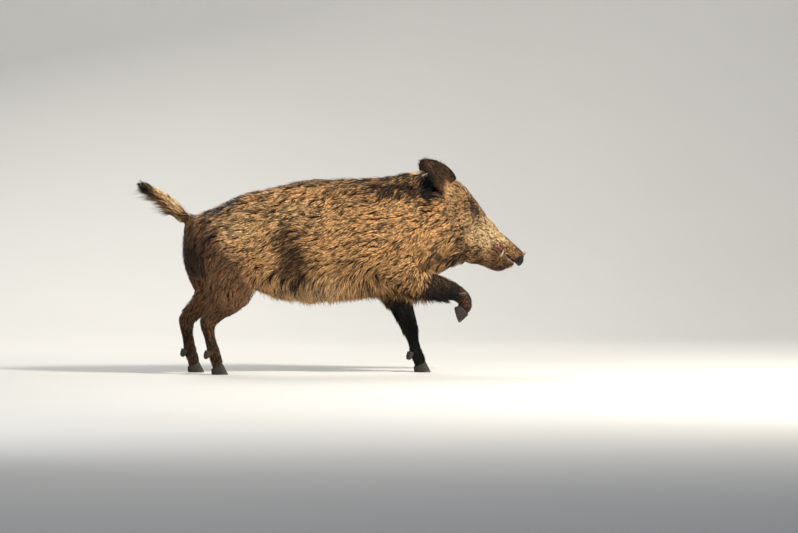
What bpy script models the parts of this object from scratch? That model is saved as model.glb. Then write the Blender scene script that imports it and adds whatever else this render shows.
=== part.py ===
"""A life-size wild boar at a run, three feet down and the right forefoot lifted.

Metres, +Z up, +X towards the snout, +Y to the animal's left. The floor is z = 0.
The body is lofted from named stations, fused into one flesh with the Remesh modifier,
and then parted into its nodes by thin plates. Hooves, dewclaws, ears, eyes, tusks, gums
and the snout's disc are solids of their own, set against the flesh with a hair's gap.
The outer surface is where the coat's tips lie.
"""

import math

import bmesh
import bpy
from mathutils import Matrix, Vector

for old in list(bpy.data.objects):
    bpy.data.objects.remove(old, do_unlink=True)

# ---------------------------------------------------------------- driving sizes
GAP = 0.0004  # clearance between touching solids
PLATE = 0.0006  # thickness of the cuts that part the flesh
VOXEL = 0.0065  # grain of the fused flesh
SMOOTHING = 7  # passes that round the joins of limbs and body
FLESH_TRIANGLES = 3100
STEPS = 6  # rings between two stations of a loft

EYE_RADIUS = 0.0105
DISC_THICKNESS = 0.015
DISC_LEAN = 0.25  # the disc faces further forward than the muzzle points
CLAW_LENGTH = 0.058
CLAW_WIDTH = 0.0245
CLAW_SPREAD = 0.0140  # from the foot's middle to the middle of a claw
DEWCLAW_LENGTH = 0.030

# Torso and neck, rump to nape: x, height of back, height of belly, half width,
# share of the width lost towards the spine, and share lost towards the belly.
TORSO = (
    ("rump_end", -0.552, 0.505, 0.400, 0.040, 0.10, 0.10),
    ("buttock", -0.529, 0.563, 0.350, 0.088, 0.12, 0.10),
    ("tail_head", -0.480, 0.589, 0.332, 0.118, 0.15, 0.12),
    ("hip", -0.415, 0.616, 0.322, 0.136, 0.18, 0.15),
    ("croup", -0.330, 0.655, 0.308, 0.146, 0.22, 0.15),
    ("flank", -0.215, 0.682, 0.286, 0.151, 0.24, 0.12),
    ("loin", -0.100, 0.706, 0.270, 0.160, 0.26, 0.10),
    ("ribs", 0.010, 0.709, 0.274, 0.166, 0.28, 0.12),
    ("girth", 0.105, 0.711, 0.286, 0.167, 0.30, 0.22),
    ("withers", 0.190, 0.717, 0.290, 0.160, 0.34, 0.36),
    ("shoulder", 0.265, 0.734, 0.298, 0.147, 0.38, 0.46),
    ("neck_base", 0.335, 0.740, 0.322, 0.129, 0.42, 0.46),
    ("neck", 0.395, 0.731, 0.362, 0.110, 0.42, 0.36),
    ("nape", 0.445, 0.699, 0.384, 0.092, 0.36, 0.25),
    ("poll", 0.492, 0.645, 0.408, 0.066, 0.30, 0.20),
)

# The head has its own axis, from the middle of the snout's disc back to the poll.
SNOUT = Vector((0.697, 0.0, 0.412))
HEAD_SLOPE = math.radians(38.2)  # how far the muzzle points down

# Stations back from the disc: distance, brow line, underside, half width,
# share of the width lost above, share lost below.
HEAD = (
    ("disc", 0.000, 0.027, -0.030, 0.029, 0.10, 0.05),
    ("nostrils", 0.022, 0.022, -0.030, 0.028, 0.12, 0.05),
    ("muzzle", 0.070, 0.024, -0.030, 0.031, 0.20, 0.05),
    ("lip_corner", 0.120, 0.030, -0.036, 0.037, 0.22, 0.00),
    ("cheek", 0.162, 0.039, -0.060, 0.046, 0.24, 0.05),
    ("below_eye", 0.205, 0.047, -0.100, 0.062, 0.26, 0.10),
    ("eye", 0.250, 0.061, -0.128, 0.077, 0.24, 0.18),
    ("brow", 0.292, 0.072, -0.146, 0.084, 0.28, 0.22),
    ("crown", 0.340, 0.081, -0.150, 0.084, 0.34, 0.22),
    ("ear_root", 0.382, 0.076, -0.142, 0.079, 0.40, 0.22),
    ("occiput", 0.420, 0.058, -0.120, 0.066, 0.40, 0.22),
)
JAW = (
    ("lip", 0.007, -0.022, -0.036, 0.014, 0.10, 0.10),
    ("chin_front", 0.018, -0.022, -0.050, 0.022, 0.10, 0.15),
    ("chin", 0.040, -0.022, -0.092, 0.031, 0.10, 0.25),
    ("chin_back", 0.068, -0.020, -0.103, 0.036, 0.10, 0.30),
    ("jaw_bar", 0.105, -0.016, -0.114, 0.043, 0.10, 0.25),
    ("jowl", 0.148, -0.012, -0.138, 0.057, 0.10, 0.20),
    ("jaw_angle", 0.188, -0.010, -0.174, 0.069, 0.10, 0.20),
    ("throat", 0.230, -0.010, -0.200, 0.075, 0.10, 0.20),
    ("gullet", 0.280, -0.010, -0.210, 0.074, 0.10, 0.20),
)

# Limbs, from inside the body to the pastern: middle of the section, half depth along
# the limb's swing, half width across it.
HIND_RIGHT = (
    ("hip", (-0.432, -0.078, 0.500), 0.098, 0.060),
    ("thigh", (-0.405, -0.100, 0.425), 0.112, 0.064),
    ("buttock", (-0.392, -0.110, 0.368), 0.106, 0.060),
    ("stifle", (-0.372, -0.112, 0.322), 0.086, 0.053),
    ("shank", (-0.396, -0.112, 0.272), 0.060, 0.043),
    ("gaskin", (-0.440, -0.108, 0.232), 0.043, 0.032),
    ("hock", (-0.472, -0.105, 0.194), 0.034, 0.026),
    ("cannon", (-0.466, -0.105, 0.138), 0.0235, 0.021),
    ("fetlock", (-0.450, -0.106, 0.080), 0.0255, 0.0255),
    ("pastern", (-0.440, -0.107, 0.048), 0.0245, 0.0280),
    ("foot_end", (-0.434, -0.107, 0.026), 0.0245, 0.0285),
)
HIND_LEFT = (
    ("hip", (-0.440, 0.078, 0.500), 0.098, 0.060),
    ("thigh", (-0.425, 0.100, 0.420), 0.114, 0.064),
    ("buttock", (-0.420, 0.110, 0.364), 0.104, 0.060),
    ("stifle", (-0.408, 0.112, 0.322), 0.084, 0.053),
    ("shank", (-0.442, 0.112, 0.272), 0.058, 0.043),
    ("gaskin", (-0.490, 0.108, 0.232), 0.042, 0.032),
    ("hock", (-0.526, 0.105, 0.196), 0.034, 0.026),
    ("cannon", (-0.523, 0.105, 0.138), 0.0235, 0.021),
    ("fetlock", (-0.512, 0.106, 0.080), 0.0255, 0.0255),
    ("pastern", (-0.503, 0.107, 0.048), 0.0245, 0.0280),
    ("foot_end", (-0.497, 0.107, 0.026), 0.0245, 0.0285),
)
FORE_LEFT = (
    ("shoulder", (0.190, 0.090, 0.455), 0.088, 0.048),
    ("upper_arm", (0.202, 0.100, 0.385), 0.080, 0.050),
    ("elbow", (0.222, 0.094, 0.318), 0.064, 0.045),
    ("forearm", (0.262, 0.066, 0.238), 0.045, 0.036),
    ("wrist", (0.290, 0.034, 0.152), 0.0310, 0.0280),
    ("cannon", (0.300, 0.018, 0.104), 0.0225, 0.0215),
    ("fetlock", (0.308, 0.008, 0.068), 0.0255, 0.0255),
    ("pastern", (0.317, 0.004, 0.046), 0.0245, 0.0280),
    ("foot_end", (0.323, 0.003, 0.026), 0.0245, 0.0285),
)
FORE_RIGHT = (
    ("shoulder", (0.168, -0.092, 0.465), 0.088, 0.050),
    ("upper_arm", (0.208, -0.112, 0.395), 0.082, 0.050),
    ("elbow", (0.262, -0.122, 0.340), 0.066, 0.046),
    ("forearm", (0.345, -0.122, 0.322), 0.050, 0.038),
    ("wrist", (0.412, -0.117, 0.302), 0.0390, 0.0310),
    ("cannon", (0.446, -0.115, 0.287), 0.0310, 0.0255),
    ("fetlock", (0.470, -0.113, 0.266), 0.0280, 0.0265),
    ("pastern", (0.471, -0.113, 0.243), 0.0260, 0.0280),
    ("foot_end", (0.464, -0.113, 0.226), 0.0245, 0.0285),
)
TAIL = (
    ("root", (-0.480, 0.0, 0.535), 0.040, 0.040),
    ("base", (-0.534, 0.0, 0.560), 0.0280, 0.0260),
    ("dock", (-0.576, 0.0, 0.602), 0.0215, 0.0190),
    ("middle", (-0.616, 0.0, 0.637), 0.0210, 0.0175),
    ("thin", (-0.658, 0.0, 0.664), 0.0180, 0.0150),
    ("tuft", (-0.694, 0.0, 0.677), 0.0140, 0.0120),
    ("tip", (-0.720, 0.0, 0.700), 0.0040, 0.0040),
)

# Each foot: the middle of its sole, how far its toe points down, how far it toes out.
FEET = {
    "hindfoot_right": (Vector((-0.428, -0.107, 0.0)), 0.0, -2.0),
    "hindfoot_left": (Vector((-0.491, 0.107, 0.0)), 0.0, 2.0),
    "forefoot_left": (Vector((0.329, 0.003, 0.0)), 0.0, -1.0),
    "forefoot_right": (Vector((0.4395, -0.113, 0.2110)), 74.0, 3.0),
}
FETLOCKS = {
    "hindfoot_right": HIND_RIGHT[8][1],
    "hindfoot_left": HIND_LEFT[8][1],
    "forefoot_left": FORE_LEFT[6][1],
    "forefoot_right": FORE_RIGHT[6][1],
}


# ---------------------------------------------------------------- mesh helpers
def blend(rows, place):
    """Catmull-Rom value of rows of numbers at a place counted in rows."""
    i = min(int(place), len(rows) - 2)
    t = place - i
    around = [rows[max(0, min(len(rows) - 1, k))] for k in (i - 1, i, i + 1, i + 2)]
    out = []
    for a, b, c, d in zip(*around):
        curve = 2 * b + (c - a) * t + (2 * a - 5 * b + 4 * c - d) * t * t
        curve += (3 * b - a - 3 * c + d) * t * t * t
        out.append(curve / 2)
    return out


def places_along(count):
    """Ring places for a loft of so many stations."""
    total = (count - 1) * STEPS
    return [k / STEPS for k in range(total + 1)]


def skin_rings(rings):
    """A closed mesh through rings of points, with both ends filled."""
    shape = bmesh.new()
    loops = [[shape.verts.new(p) for p in ring] for ring in rings]
    sides = len(loops[0])
    for first, second in zip(loops, loops[1:]):
        for k in range(sides):
            n = (k + 1) % sides
            shape.faces.new((first[k], first[n], second[n], second[k]))
    shape.faces.new(list(reversed(loops[0])))
    shape.faces.new(loops[-1])
    bmesh.ops.triangulate(shape, faces=[f for f in shape.faces if len(f.verts) > 4])
    bmesh.ops.recalc_face_normals(shape, faces=shape.faces)
    return shape


def new_object(name, shape):
    mesh = bpy.data.meshes.new(name)
    shape.to_mesh(mesh)
    shape.free()
    made = bpy.data.objects.new(name, mesh)
    bpy.context.scene.collection.objects.link(made)
    return made


def helper(made):
    """Marks a cutter or a blank, which is no part of the boar."""
    made.hide_render = True
    made.display_type = "WIRE"
    return made


def egg(sides, up, down, half, lost_up, lost_down):
    """Points round a section: half width across, up above and down below its middle."""
    points = []
    for k in range(sides):
        angle = 2 * math.pi * k / sides
        rise, run = math.sin(angle), math.cos(angle)
        lost = lost_up if rise > 0 else lost_down
        points.append((half * run * (1 - lost * rise * rise), (up if rise > 0 else down) * rise))
    return points


def body_loft(name, stations, to_world, sides=36):
    """A loft of egg sections set square to one straight axis."""
    rows = [row[1:] for row in stations]
    rings = []
    for place in places_along(len(rows)):
        along, top, bottom, half, lost_up, lost_down = blend(rows, place)
        middle = bottom + 0.46 * (top - bottom)
        ring = egg(sides, top - middle, middle - bottom, half, lost_up, lost_down)
        rings.append([to_world(along, across, middle + rise) for across, rise in ring])
    return new_object(name, skin_rings(rings))


def limb_frames(stations):
    """Middle, swing direction, side direction, depth and width along a limb."""
    rows = [(*row[1], row[2], row[3]) for row in stations]
    places = places_along(len(rows))
    values = [blend(rows, place) for place in places]
    middles = [Vector(v[:3]) for v in values]
    frames = []
    for k, (middle, value) in enumerate(zip(middles, values)):
        ahead = middles[min(k + 1, len(middles) - 1)]
        behind = middles[max(k - 1, 0)]
        run = (ahead - behind).normalized()
        swing = Vector((0, 1, 0)).cross(run).normalized()
        side = run.cross(swing).normalized()
        frames.append((middle, run, swing, side, value[3], value[4]))
    return frames


def limb_loft(name, stations, sides=22):
    """A loft of ovals set square to a bent path."""
    rings = []
    for middle, _, swing, side, depth, width in limb_frames(stations):
        ring = []
        for k in range(sides):
            angle = 2 * math.pi * k / sides
            ring.append(middle + swing * depth * math.cos(angle) + side * width * math.sin(angle))
        rings.append(ring)
    return new_object(name, skin_rings(rings))


def torso_point(x, y, z):
    return Vector((x, y, z))


def head_point(back, side, rise):
    """A point of the head from its distance behind the disc, its side and its rise."""
    c, s = math.cos(HEAD_SLOPE), math.sin(HEAD_SLOPE)
    return SNOUT + Vector((-back * c + rise * s, side, back * s + rise * c))


def evaluated_copy(made, name):
    """The object's mesh with its modifiers applied, as a new object."""
    graph = bpy.context.evaluated_depsgraph_get()
    mesh = bpy.data.meshes.new_from_object(made.evaluated_get(graph))
    copy = bpy.data.objects.new(name, mesh)
    bpy.context.scene.collection.objects.link(copy)
    return copy


def drop(made):
    bpy.data.objects.remove(made, do_unlink=True)


def join(name, objects):
    """One object that holds all the meshes, and the blanks removed."""
    shape = bmesh.new()
    for made in objects:
        shape.from_mesh(made.data)
        drop(made)
    return new_object(name, shape)


def cut(made, cutter):
    """The object less the cutter."""
    knife = made.modifiers.new("cut", "BOOLEAN")
    knife.operation = "DIFFERENCE"
    knife.solver = "EXACT"
    knife.use_self = True
    knife.object = helper(cutter)
    name = made.name
    made.name = name + "_blank"
    result = evaluated_copy(made, name)
    drop(made)
    drop(cutter)
    return result


# ---------------------------------------------------------------- flesh
def fused_flesh():
    """Torso, head, jaw, limbs and tail as one closed skin of few triangles."""
    blanks = [
        body_loft("torso_blank", TORSO, torso_point),
        body_loft("head_blank", HEAD, head_point),
        body_loft("jaw_blank", JAW, head_point),
        limb_loft("hind_right_blank", HIND_RIGHT),
        limb_loft("hind_left_blank", HIND_LEFT),
        limb_loft("fore_left_blank", FORE_LEFT),
        limb_loft("fore_right_blank", FORE_RIGHT),
        limb_loft("tail_blank", TAIL, sides=14),
    ]
    flesh = join("flesh_blank", blanks)
    grain = flesh.modifiers.new("grain", "REMESH")
    grain.mode = "VOXEL"
    grain.voxel_size = VOXEL
    soften = flesh.modifiers.new("soften", "SMOOTH")
    soften.factor = 0.5
    soften.iterations = SMOOTHING
    fine = evaluated_copy(flesh, "fine_blank")
    drop(flesh)
    fewer = fine.modifiers.new("fewer", "DECIMATE")
    fewer.ratio = FLESH_TRIANGLES / (2 * len(fine.data.polygons))
    result = evaluated_copy(fine, "flesh")
    drop(fine)
    return result


def plate(middle, reach_a, reach_b):
    """A thin rectangular cutter round a middle, with its two half sides as vectors."""
    a, b = Vector(reach_a), Vector(reach_b)
    thick = a.cross(b).normalized() * (PLATE / 2)
    shape = bmesh.new()
    corners = []
    for sign in (-1, 1):
        loop = [middle + p + sign * thick for p in (-a - b, a - b, a + b, -a + b)]
        corners.append([shape.verts.new(p) for p in loop])
    low, high = corners
    shape.faces.new(list(reversed(low)))
    shape.faces.new(high)
    for k in range(4):
        n = (k + 1) % 4
        shape.faces.new((low[k], low[n], high[n], high[k]))
    bmesh.ops.recalc_face_normals(shape, faces=shape.faces)
    return new_object("plate_blank", shape)


def plate_between(high, low, half_width):
    """A plate that runs level across the body from one point of its outline to another."""
    a, b = Vector(high), Vector(low)
    return plate((a + b) / 2, (b - a) / 2, (0, half_width, 0))


def limb_plate(stations, place, reach=1.5):
    """A plate square to a limb at a place counted in stations."""
    middle, _, swing, side, depth, width = limb_frames(stations)[round(place * STEPS)]
    return plate(middle, swing * depth * reach, side * width * reach)


def hip_plate(side):
    """The cut from the flank fold over the hip and down to the groin, on one side."""
    return plate(
        Vector((-0.400, side * 0.100, 0.340)),
        Vector((0.215, 0, -0.172)),
        Vector((0, side * 0.106, 0.170)),
    )


def shank_plate(y, shift):
    """The cut below a stifle, from behind the leg to in front of it."""
    middle = Vector((-0.385 + shift, y, 0.2615))
    return plate(middle, Vector((0.098, 0, -0.065)), Vector((0, 0.075, 0)))


def mouth_cutter():
    """The gap between the lips: highest under the tusk, closing at the corner and the front."""
    line = (  # distance behind the disc, upper lip, lower lip
        (-0.030, -0.0245, -0.0290),
        (0.016, -0.0250, -0.0285),
        (0.041, -0.0258, -0.0292),
        (0.060, -0.0225, -0.0295),
        (0.078, -0.0140, -0.0305),
        (0.092, -0.0080, -0.0320),
        (0.102, -0.0120, -0.0320),
        (0.110, -0.0220, -0.0310),
        (0.117, -0.0285, -0.0300),
    )
    half = 0.07
    shape = bmesh.new()
    loop = [(s, top) for s, top, _ in line] + [(s, low) for s, _, low in reversed(line)]
    sides = []
    for side in (-half, half):
        sides.append([shape.verts.new(head_point(s, side, h)) for s, h in loop])
    shape.faces.new(sides[0])
    shape.faces.new(list(reversed(sides[1])))
    for k in range(len(loop)):
        n = (k + 1) % len(loop)
        shape.faces.new((sides[0][n], sides[0][k], sides[1][k], sides[1][n]))
    bmesh.ops.recalc_face_normals(shape, faces=shape.faces)
    return new_object("mouth_blank", shape)


def part_flesh(flesh):
    """Opens the mouth, cuts the flesh with plates, and returns its loose bodies."""
    flesh = cut(flesh, mouth_cutter())
    front = bmesh.new()
    bmesh.ops.create_cube(front, size=1)
    reach = Vector((DISC_THICKNESS + 0.03, 0.12, 0.2))
    turn = Matrix.Rotation(HEAD_SLOPE, 4, "Y")
    shift = Matrix.Translation(head_point(DISC_THICKNESS - reach.x / 2, 0, 0))
    bmesh.ops.transform(front, matrix=shift @ turn @ Matrix.Diagonal((*reach, 1)), verts=front.verts)
    flesh = cut(flesh, new_object("front_blank", front))
    plates = [
        plate_between((0.190, 0, 0.765), (0.445, 0, 0.374), 0.21),
        plate_between((0.352, 0, 0.770), (0.502, 0, 0.372), 0.16),
        plate_between(head_point(0.1165, 0, -0.0292), (0.478, 0, 0.352), 0.12),
        limb_plate(TAIL, 1.35, 1.6),
        limb_plate(TAIL, 3.6, 1.5),
        hip_plate(-1),
        hip_plate(1),
        shank_plate(-0.112, -0.006),
        shank_plate(0.112, -0.044),
        limb_plate(HIND_RIGHT, 5.84, 1.5),
        limb_plate(HIND_LEFT, 5.84, 1.5),
        limb_plate(FORE_LEFT, 2.7, 1.7),
        limb_plate(FORE_LEFT, 3.84, 1.5),
        limb_plate(FORE_RIGHT, 2.67, 1.22),
        limb_plate(FORE_RIGHT, 3.84, 1.5),
    ]
    flesh = cut(flesh, join("plates_blank", plates))
    return loose_bodies(flesh)


def loose_bodies(made):
    """The separate closed bodies of a mesh, each as an object."""
    shape = bmesh.new()
    shape.from_mesh(made.data)
    drop(made)
    left = set(shape.verts)
    groups = []
    while left:
        front = [left.pop()]
        group = set(front)
        while front:
            vert = front.pop()
            for edge in vert.link_edges:
                other = edge.other_vert(vert)
                if other not in group:
                    group.add(other)
                    front.append(other)
        left -= group
        groups.append(group)
    bodies = []
    for group in groups:
        index = {vert: k for k, vert in enumerate(group)}
        mesh = bpy.data.meshes.new("body_blank")
        faces = {face for vert in group for face in vert.link_faces}
        corners = [[index[v] for v in face.verts] for face in faces]
        mesh.from_pydata([vert.co[:] for vert in index], [], corners)
        body = bpy.data.objects.new("body_blank", mesh)
        bpy.context.scene.collection.objects.link(body)
        bodies.append(body)
    shape.free()
    return bodies


# Where the middle of each flesh node's box lies, to name the bodies that the plates leave.
FLESH_NODES = {
    "trunk": Vector((-0.08, 0.0, 0.49)),
    "neck": Vector((0.36, 0.0, 0.56)),
    "head": Vector((0.53, 0.0, 0.55)),
    "lower_jaw": Vector((0.57, 0.0, 0.41)),
    "tail": Vector((-0.60, 0.0, 0.62)),
    "tail_tuft": Vector((-0.68, 0.0, 0.68)),
    "thigh_right": Vector((-0.39, -0.10, 0.37)),
    "thigh_left": Vector((-0.41, 0.10, 0.37)),
    "shank_right": Vector((-0.42, -0.11, 0.25)),
    "shank_left": Vector((-0.48, 0.11, 0.25)),
    "hindfoot_right": Vector((-0.45, -0.11, 0.11)),
    "hindfoot_left": Vector((-0.51, 0.11, 0.11)),
    "forearm_left": Vector((0.25, 0.07, 0.23)),
    "forefoot_left": Vector((0.29, 0.01, 0.09)),
    "forearm_right": Vector((0.34, -0.12, 0.34)),
    "forefoot_right": Vector((0.46, -0.11, 0.26)),
}


def named_bodies(bodies):
    """Each flesh node's object under its own name."""
    free = dict(FLESH_NODES)
    found = {}
    sized = []
    for body in bodies:
        corners = [v.co for v in body.data.vertices]
        low = Vector([min(c[k] for c in corners) for k in range(3)])
        high = Vector([max(c[k] for c in corners) for k in range(3)])
        sized.append(((high - low).length, (low + high) / 2, body))
    for size, middle, body in sorted(sized, key=lambda row: -row[0]):
        if not free:
            print("left over body, size", size, "at", middle)
            drop(body)
            continue
        name = min(free, key=lambda key: (free[key] - middle).length)
        print(f"{name:16s} {size:.3f} {middle[0]:.3f} {middle[1]:.3f} {middle[2]:.3f}")
        free.pop(name)
        body.name = name
        found[name] = body
    return found


# ---------------------------------------------------------------- small solids
def claw(name, side, grow=0.0, length=CLAW_LENGTH, width=CLAW_WIDTH):
    """One hoof claw, toe to +X and sole at z = 0. Its inner wall faces the other claw."""
    rings = []
    levels = 3
    sides = 14
    heel_height, toe_height = 0.34 * length, 0.66 * length
    for level in range(levels + 1):
        up = level / levels
        reach = (length / 2) * (1 - 0.30 * up) + grow
        middle = -0.20 * length * up * 0.9
        wide = width * (1 - 0.10 * up) + 2 * grow
        ring = []
        for k in range(sides):
            angle = 2 * math.pi * k / sides
            x = math.copysign(abs(math.cos(angle)) ** 0.85, math.cos(angle)) * reach
            y = math.sin(angle) * wide / 2
            toe = (x / reach + 1) / 2
            if y * side < 0:
                y *= 0.72  # the wall towards the other claw is flatter
            y *= 1 - 0.42 * max(0.0, toe - 0.45) ** 1.2 / 0.55
            high = heel_height + (toe_height - heel_height) * toe ** 1.2 + grow
            low = -grow
            ring.append(Vector((middle + x, y, low + (high - low) * up)))
        rings.append(ring)
    return new_object(name, skin_rings(rings))


def dewclaw(name, grow=0.0):
    """A small claw that points down and back from behind the fetlock."""
    rings = []
    levels = 4
    for level in range(levels + 1):
        t = level / levels
        radius = 0.0088 * math.sqrt(max(0.0, 1 - t * t)) * (1 if t < 1 else 0) + 0.0012 + grow
        along = DEWCLAW_LENGTH * t + (grow if level == levels else -grow if level == 0 else 0)
        ring = []
        for k in range(8):
            angle = 2 * math.pi * k / 8
            ring.append(Vector((along, 0.82 * radius * math.cos(angle), radius * math.sin(angle))))
        rings.append(ring)
    return new_object(name, skin_rings(rings))


def placed(made, where, heading=0.0, down=0.0, roll=0.0):
    """Bakes a place into a mesh: turned down about Y, then headed about Z."""
    turn = Matrix.Rotation(math.radians(heading), 4, "Z")
    turn = turn @ Matrix.Rotation(math.radians(down), 4, "Y")
    turn = turn @ Matrix.Rotation(math.radians(roll), 4, "X")
    made.data.transform(Matrix.Translation(where) @ turn)
    return made


def hoof_set(foot):
    """Claws and dewclaws of one foot, each with a slightly larger cutter for the flesh."""
    middle, down, toe_out = FEET[foot]
    tilt = Matrix.Rotation(math.radians(down), 4, "Y")
    solids, cutters = [], []
    for side, word in ((-1, "outer" if foot.endswith("right") else "inner"),
                       (1, "inner" if foot.endswith("right") else "outer")):
        across = Vector((0, side * CLAW_SPREAD, 0))
        where = middle + tilt.to_3x3() @ across
        for grow, pile in ((0.0, solids), (GAP, cutters)):
            made = claw(f"hoof_{foot}_{word}", side, grow)
            pile.append(placed(made, where, toe_out + side * 3.0, down))
        behind = tilt.to_3x3() @ Vector((-0.021, side * 0.021, 0.004))
        start = Vector(FETLOCKS[foot]) + behind
        for grow, pile in ((0.0, solids), (GAP, cutters)):
            made = dewclaw(f"dewclaw_{foot}_{word}", grow)
            pile.append(placed(made, start, toe_out + side * -14.0, down + 112.0))
    return solids, cutters


def ear(name, root, tip_direction, front_direction, length, width, curl):
    """A cupped, pointed ear: a curved leaf with thickness, its hollow towards the front."""
    up = Vector(tip_direction).normalized()
    front = Vector(front_direction)
    front = (front - up * front.dot(up)).normalized()
    across = up.cross(front)
    rows, columns = 8, 6
    rings = []
    for row in range(rows + 1):
        t = row / rows
        half = width / 2 * (math.sin(math.pi * (0.20 + 0.80 * t)) ** 0.62 if t < 1 else 0.0)
        half = half * (1 - 0.15 * t) + 0.0035
        bend = curl * (1.0 - 0.75 * t)
        thick = 0.0105 - 0.0045 * t
        ring = []
        for face, order in ((1, range(columns + 1)), (-1, range(columns, -1, -1))):
            for column in order:
                u = column / columns * 2 - 1
                swing = u * bend
                radius = half / max(math.sin(bend), 0.2)
                place = across * radius * math.sin(swing)
                place += front * radius * (1 - math.cos(swing))
                wall = thick / 2 * math.sqrt(max(0.05, 1 - u * u))
                outward = (across * math.sin(swing) - front * math.cos(swing)) * face * wall
                lean = front * (-0.05 * length * t * t)
                ring.append(Vector(root) + up * length * t + place + outward + lean)
        rings.append(ring)
    return new_object(name, skin_rings(rings))


def swollen(made, by):
    """A copy of a solid grown along its normals, to cut a neighbour with clearance."""
    copy = evaluated_copy(made, made.name + "_swollen")
    shape = bmesh.new()
    shape.from_mesh(copy.data)
    bmesh.ops.recalc_face_normals(shape, faces=shape.faces)
    shape.normal_update()
    moves = [(vert, vert.normal * by) for vert in shape.verts]
    for vert, move in moves:
        vert.co += move
    shape.to_mesh(copy.data)
    shape.free()
    return copy


def ball(name, middle, radius, grow=0.0):
    shape = bmesh.new()
    bmesh.ops.create_uvsphere(shape, u_segments=12, v_segments=7, radius=radius + grow)
    bmesh.ops.translate(shape, vec=middle, verts=shape.verts)
    return new_object(name, shape)


def snout_disc():
    """The flat tough disc on the nose, wider at its top rim, with two nostrils."""
    rings = []
    sides = 18
    for back, scale, lip in (
        (DISC_THICKNESS - GAP, 0.93, 0.0),
        (0.009, 1.00, 0.0),
        (0.003, 1.05, 0.0012),
        (0.000, 1.02, 0.0020),
        (-0.0012, 0.93, 0.0020),
        (0.0002, 0.70, 0.0),
    ):
        ring = []
        for k in range(sides):
            angle = 2 * math.pi * k / sides
            rise, run = math.sin(angle), math.cos(angle)
            wide = 0.0325 * scale * run * (1 + 0.10 * rise)
            tall = (0.0270 + (lip if rise > 0 else 0.0)) * scale * rise
            leant = back + DISC_LEAN * tall if back < 0.006 else back
            ring.append(head_point(leant, wide, tall - 0.001))
        rings.append(ring)
    disc = new_object("snout_disc", skin_rings(rings))
    for side in (-1, 1):
        shape = bmesh.new()
        bmesh.ops.create_cone(
            shape, segments=14, radius1=0.0042, radius2=0.0068, depth=0.018, cap_ends=True
        )
        shrink = Matrix.Diagonal((1.25, 0.85, 1, 1))
        face_front = Matrix.Rotation(math.pi / 2 + HEAD_SLOPE, 4, "Y")
        spot = Matrix.Translation(head_point(-0.0005, side * 0.0135, -0.002))
        bmesh.ops.transform(shape, matrix=spot @ face_front @ shrink, verts=shape.verts)
        disc = cut(disc, new_object("nostril_blank", shape))
    return disc


def gums():
    """The red lining that shows between the lips, narrower than the jaws."""
    line = (  # distance behind the disc, top, bottom, half width
        (0.044, -0.0262, -0.0288, 0.015),
        (0.060, -0.0232, -0.0290, 0.019),
        (0.078, -0.0148, -0.0300, 0.023),
        (0.092, -0.0088, -0.0315, 0.026),
        (0.102, -0.0128, -0.0315, 0.028),
        (0.109, -0.0215, -0.0306, 0.029),
    )
    rings = []
    for back, top, bottom, half in line:
        middle, rise = (top + bottom) / 2, (top - bottom) / 2
        ring = []
        for k in range(14):
            angle = 2 * math.pi * k / 14
            across = math.copysign(abs(math.cos(angle)) ** 0.7, math.cos(angle)) * half
            up = math.copysign(abs(math.sin(angle)) ** 0.7, math.sin(angle)) * rise
            ring.append(head_point(back, across, middle + up))
        rings.append(ring)
    return new_object("gums", skin_rings(rings))


def tusk(side, grow=0.0):
    """A short lower canine that curves up and outwards between the lips."""
    rings = []
    levels = 5
    for level in range(levels + 1):
        t = level / levels
        radius = 0.0040 * (1 - 0.82 * t ** 1.6) + grow
        middle = head_point(
            0.072 + 0.009 * t * t, side * (0.0270 + 0.0070 * math.sin(1.5 * t)), -0.044 + 0.027 * t
        )
        ring = []
        for k in range(7):
            angle = 2 * math.pi * k / 7
            back, across = radius * math.cos(angle), radius * math.sin(angle)
            ring.append(middle + head_point(back, across, 0) - SNOUT)
        rings.append(ring)
    return new_object("tusk_right" if side < 0 else "tusk_left", skin_rings(rings))


# ---------------------------------------------------------------- finishes
def finish(name, colour, roughness):
    made = bpy.data.materials.new(name)
    made.use_nodes = True
    shader = made.node_tree.nodes["Principled BSDF"]
    shader.inputs["Base Color"].default_value = (*colour, 1.0)
    shader.inputs["Roughness"].default_value = roughness
    shader.inputs["Metallic"].default_value = 0.0
    return made


COAT = finish("coat", (0.27, 0.17, 0.085), 0.75)
DARK_COAT = finish("dark_coat", (0.075, 0.052, 0.037), 0.75)
HORN = finish("horn", (0.060, 0.052, 0.043), 0.45)
NOSE = finish("nose", (0.085, 0.052, 0.043), 0.40)
EYE = finish("eye", (0.020, 0.012, 0.008), 0.08)
IVORY = finish("ivory", (0.66, 0.58, 0.42), 0.35)
MOUTH = finish("mouth", (0.29, 0.055, 0.045), 0.35)
DARK_NODES = ("shank", "hindfoot", "forearm", "forefoot", "ear", "tail_tuft")


def material_for(name):
    for words, material in (
        (("hoof", "dewclaw"), HORN),
        (("snout",), NOSE),
        (("eye",), EYE),
        (("tusk",), IVORY),
        (("gums",), MOUTH),
        (DARK_NODES, DARK_COAT),
    ):
        if name.startswith(words):
            return material
    return COAT


# ---------------------------------------------------------------- assembly
def set_hooves(nodes):
    """Hooves and dewclaws, with their beds cut from the feet."""
    for foot in FEET:
        solids, cutters = hoof_set(foot)
        for cutter in cutters:
            nodes[foot] = cut(nodes[foot], cutter)
        for solid in solids:
            nodes[solid.name] = solid


def set_eyes(nodes):
    """Eyeballs in open sockets."""
    for side, name in ((-1, "eye_right"), (1, "eye_left")):
        middle = head_point(0.250, side * 0.0465, 0.027)
        nodes["head"] = cut(nodes["head"], ball("socket_blank", middle, EYE_RADIUS, GAP))
        nodes[name] = ball(name, middle, EYE_RADIUS)


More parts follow.
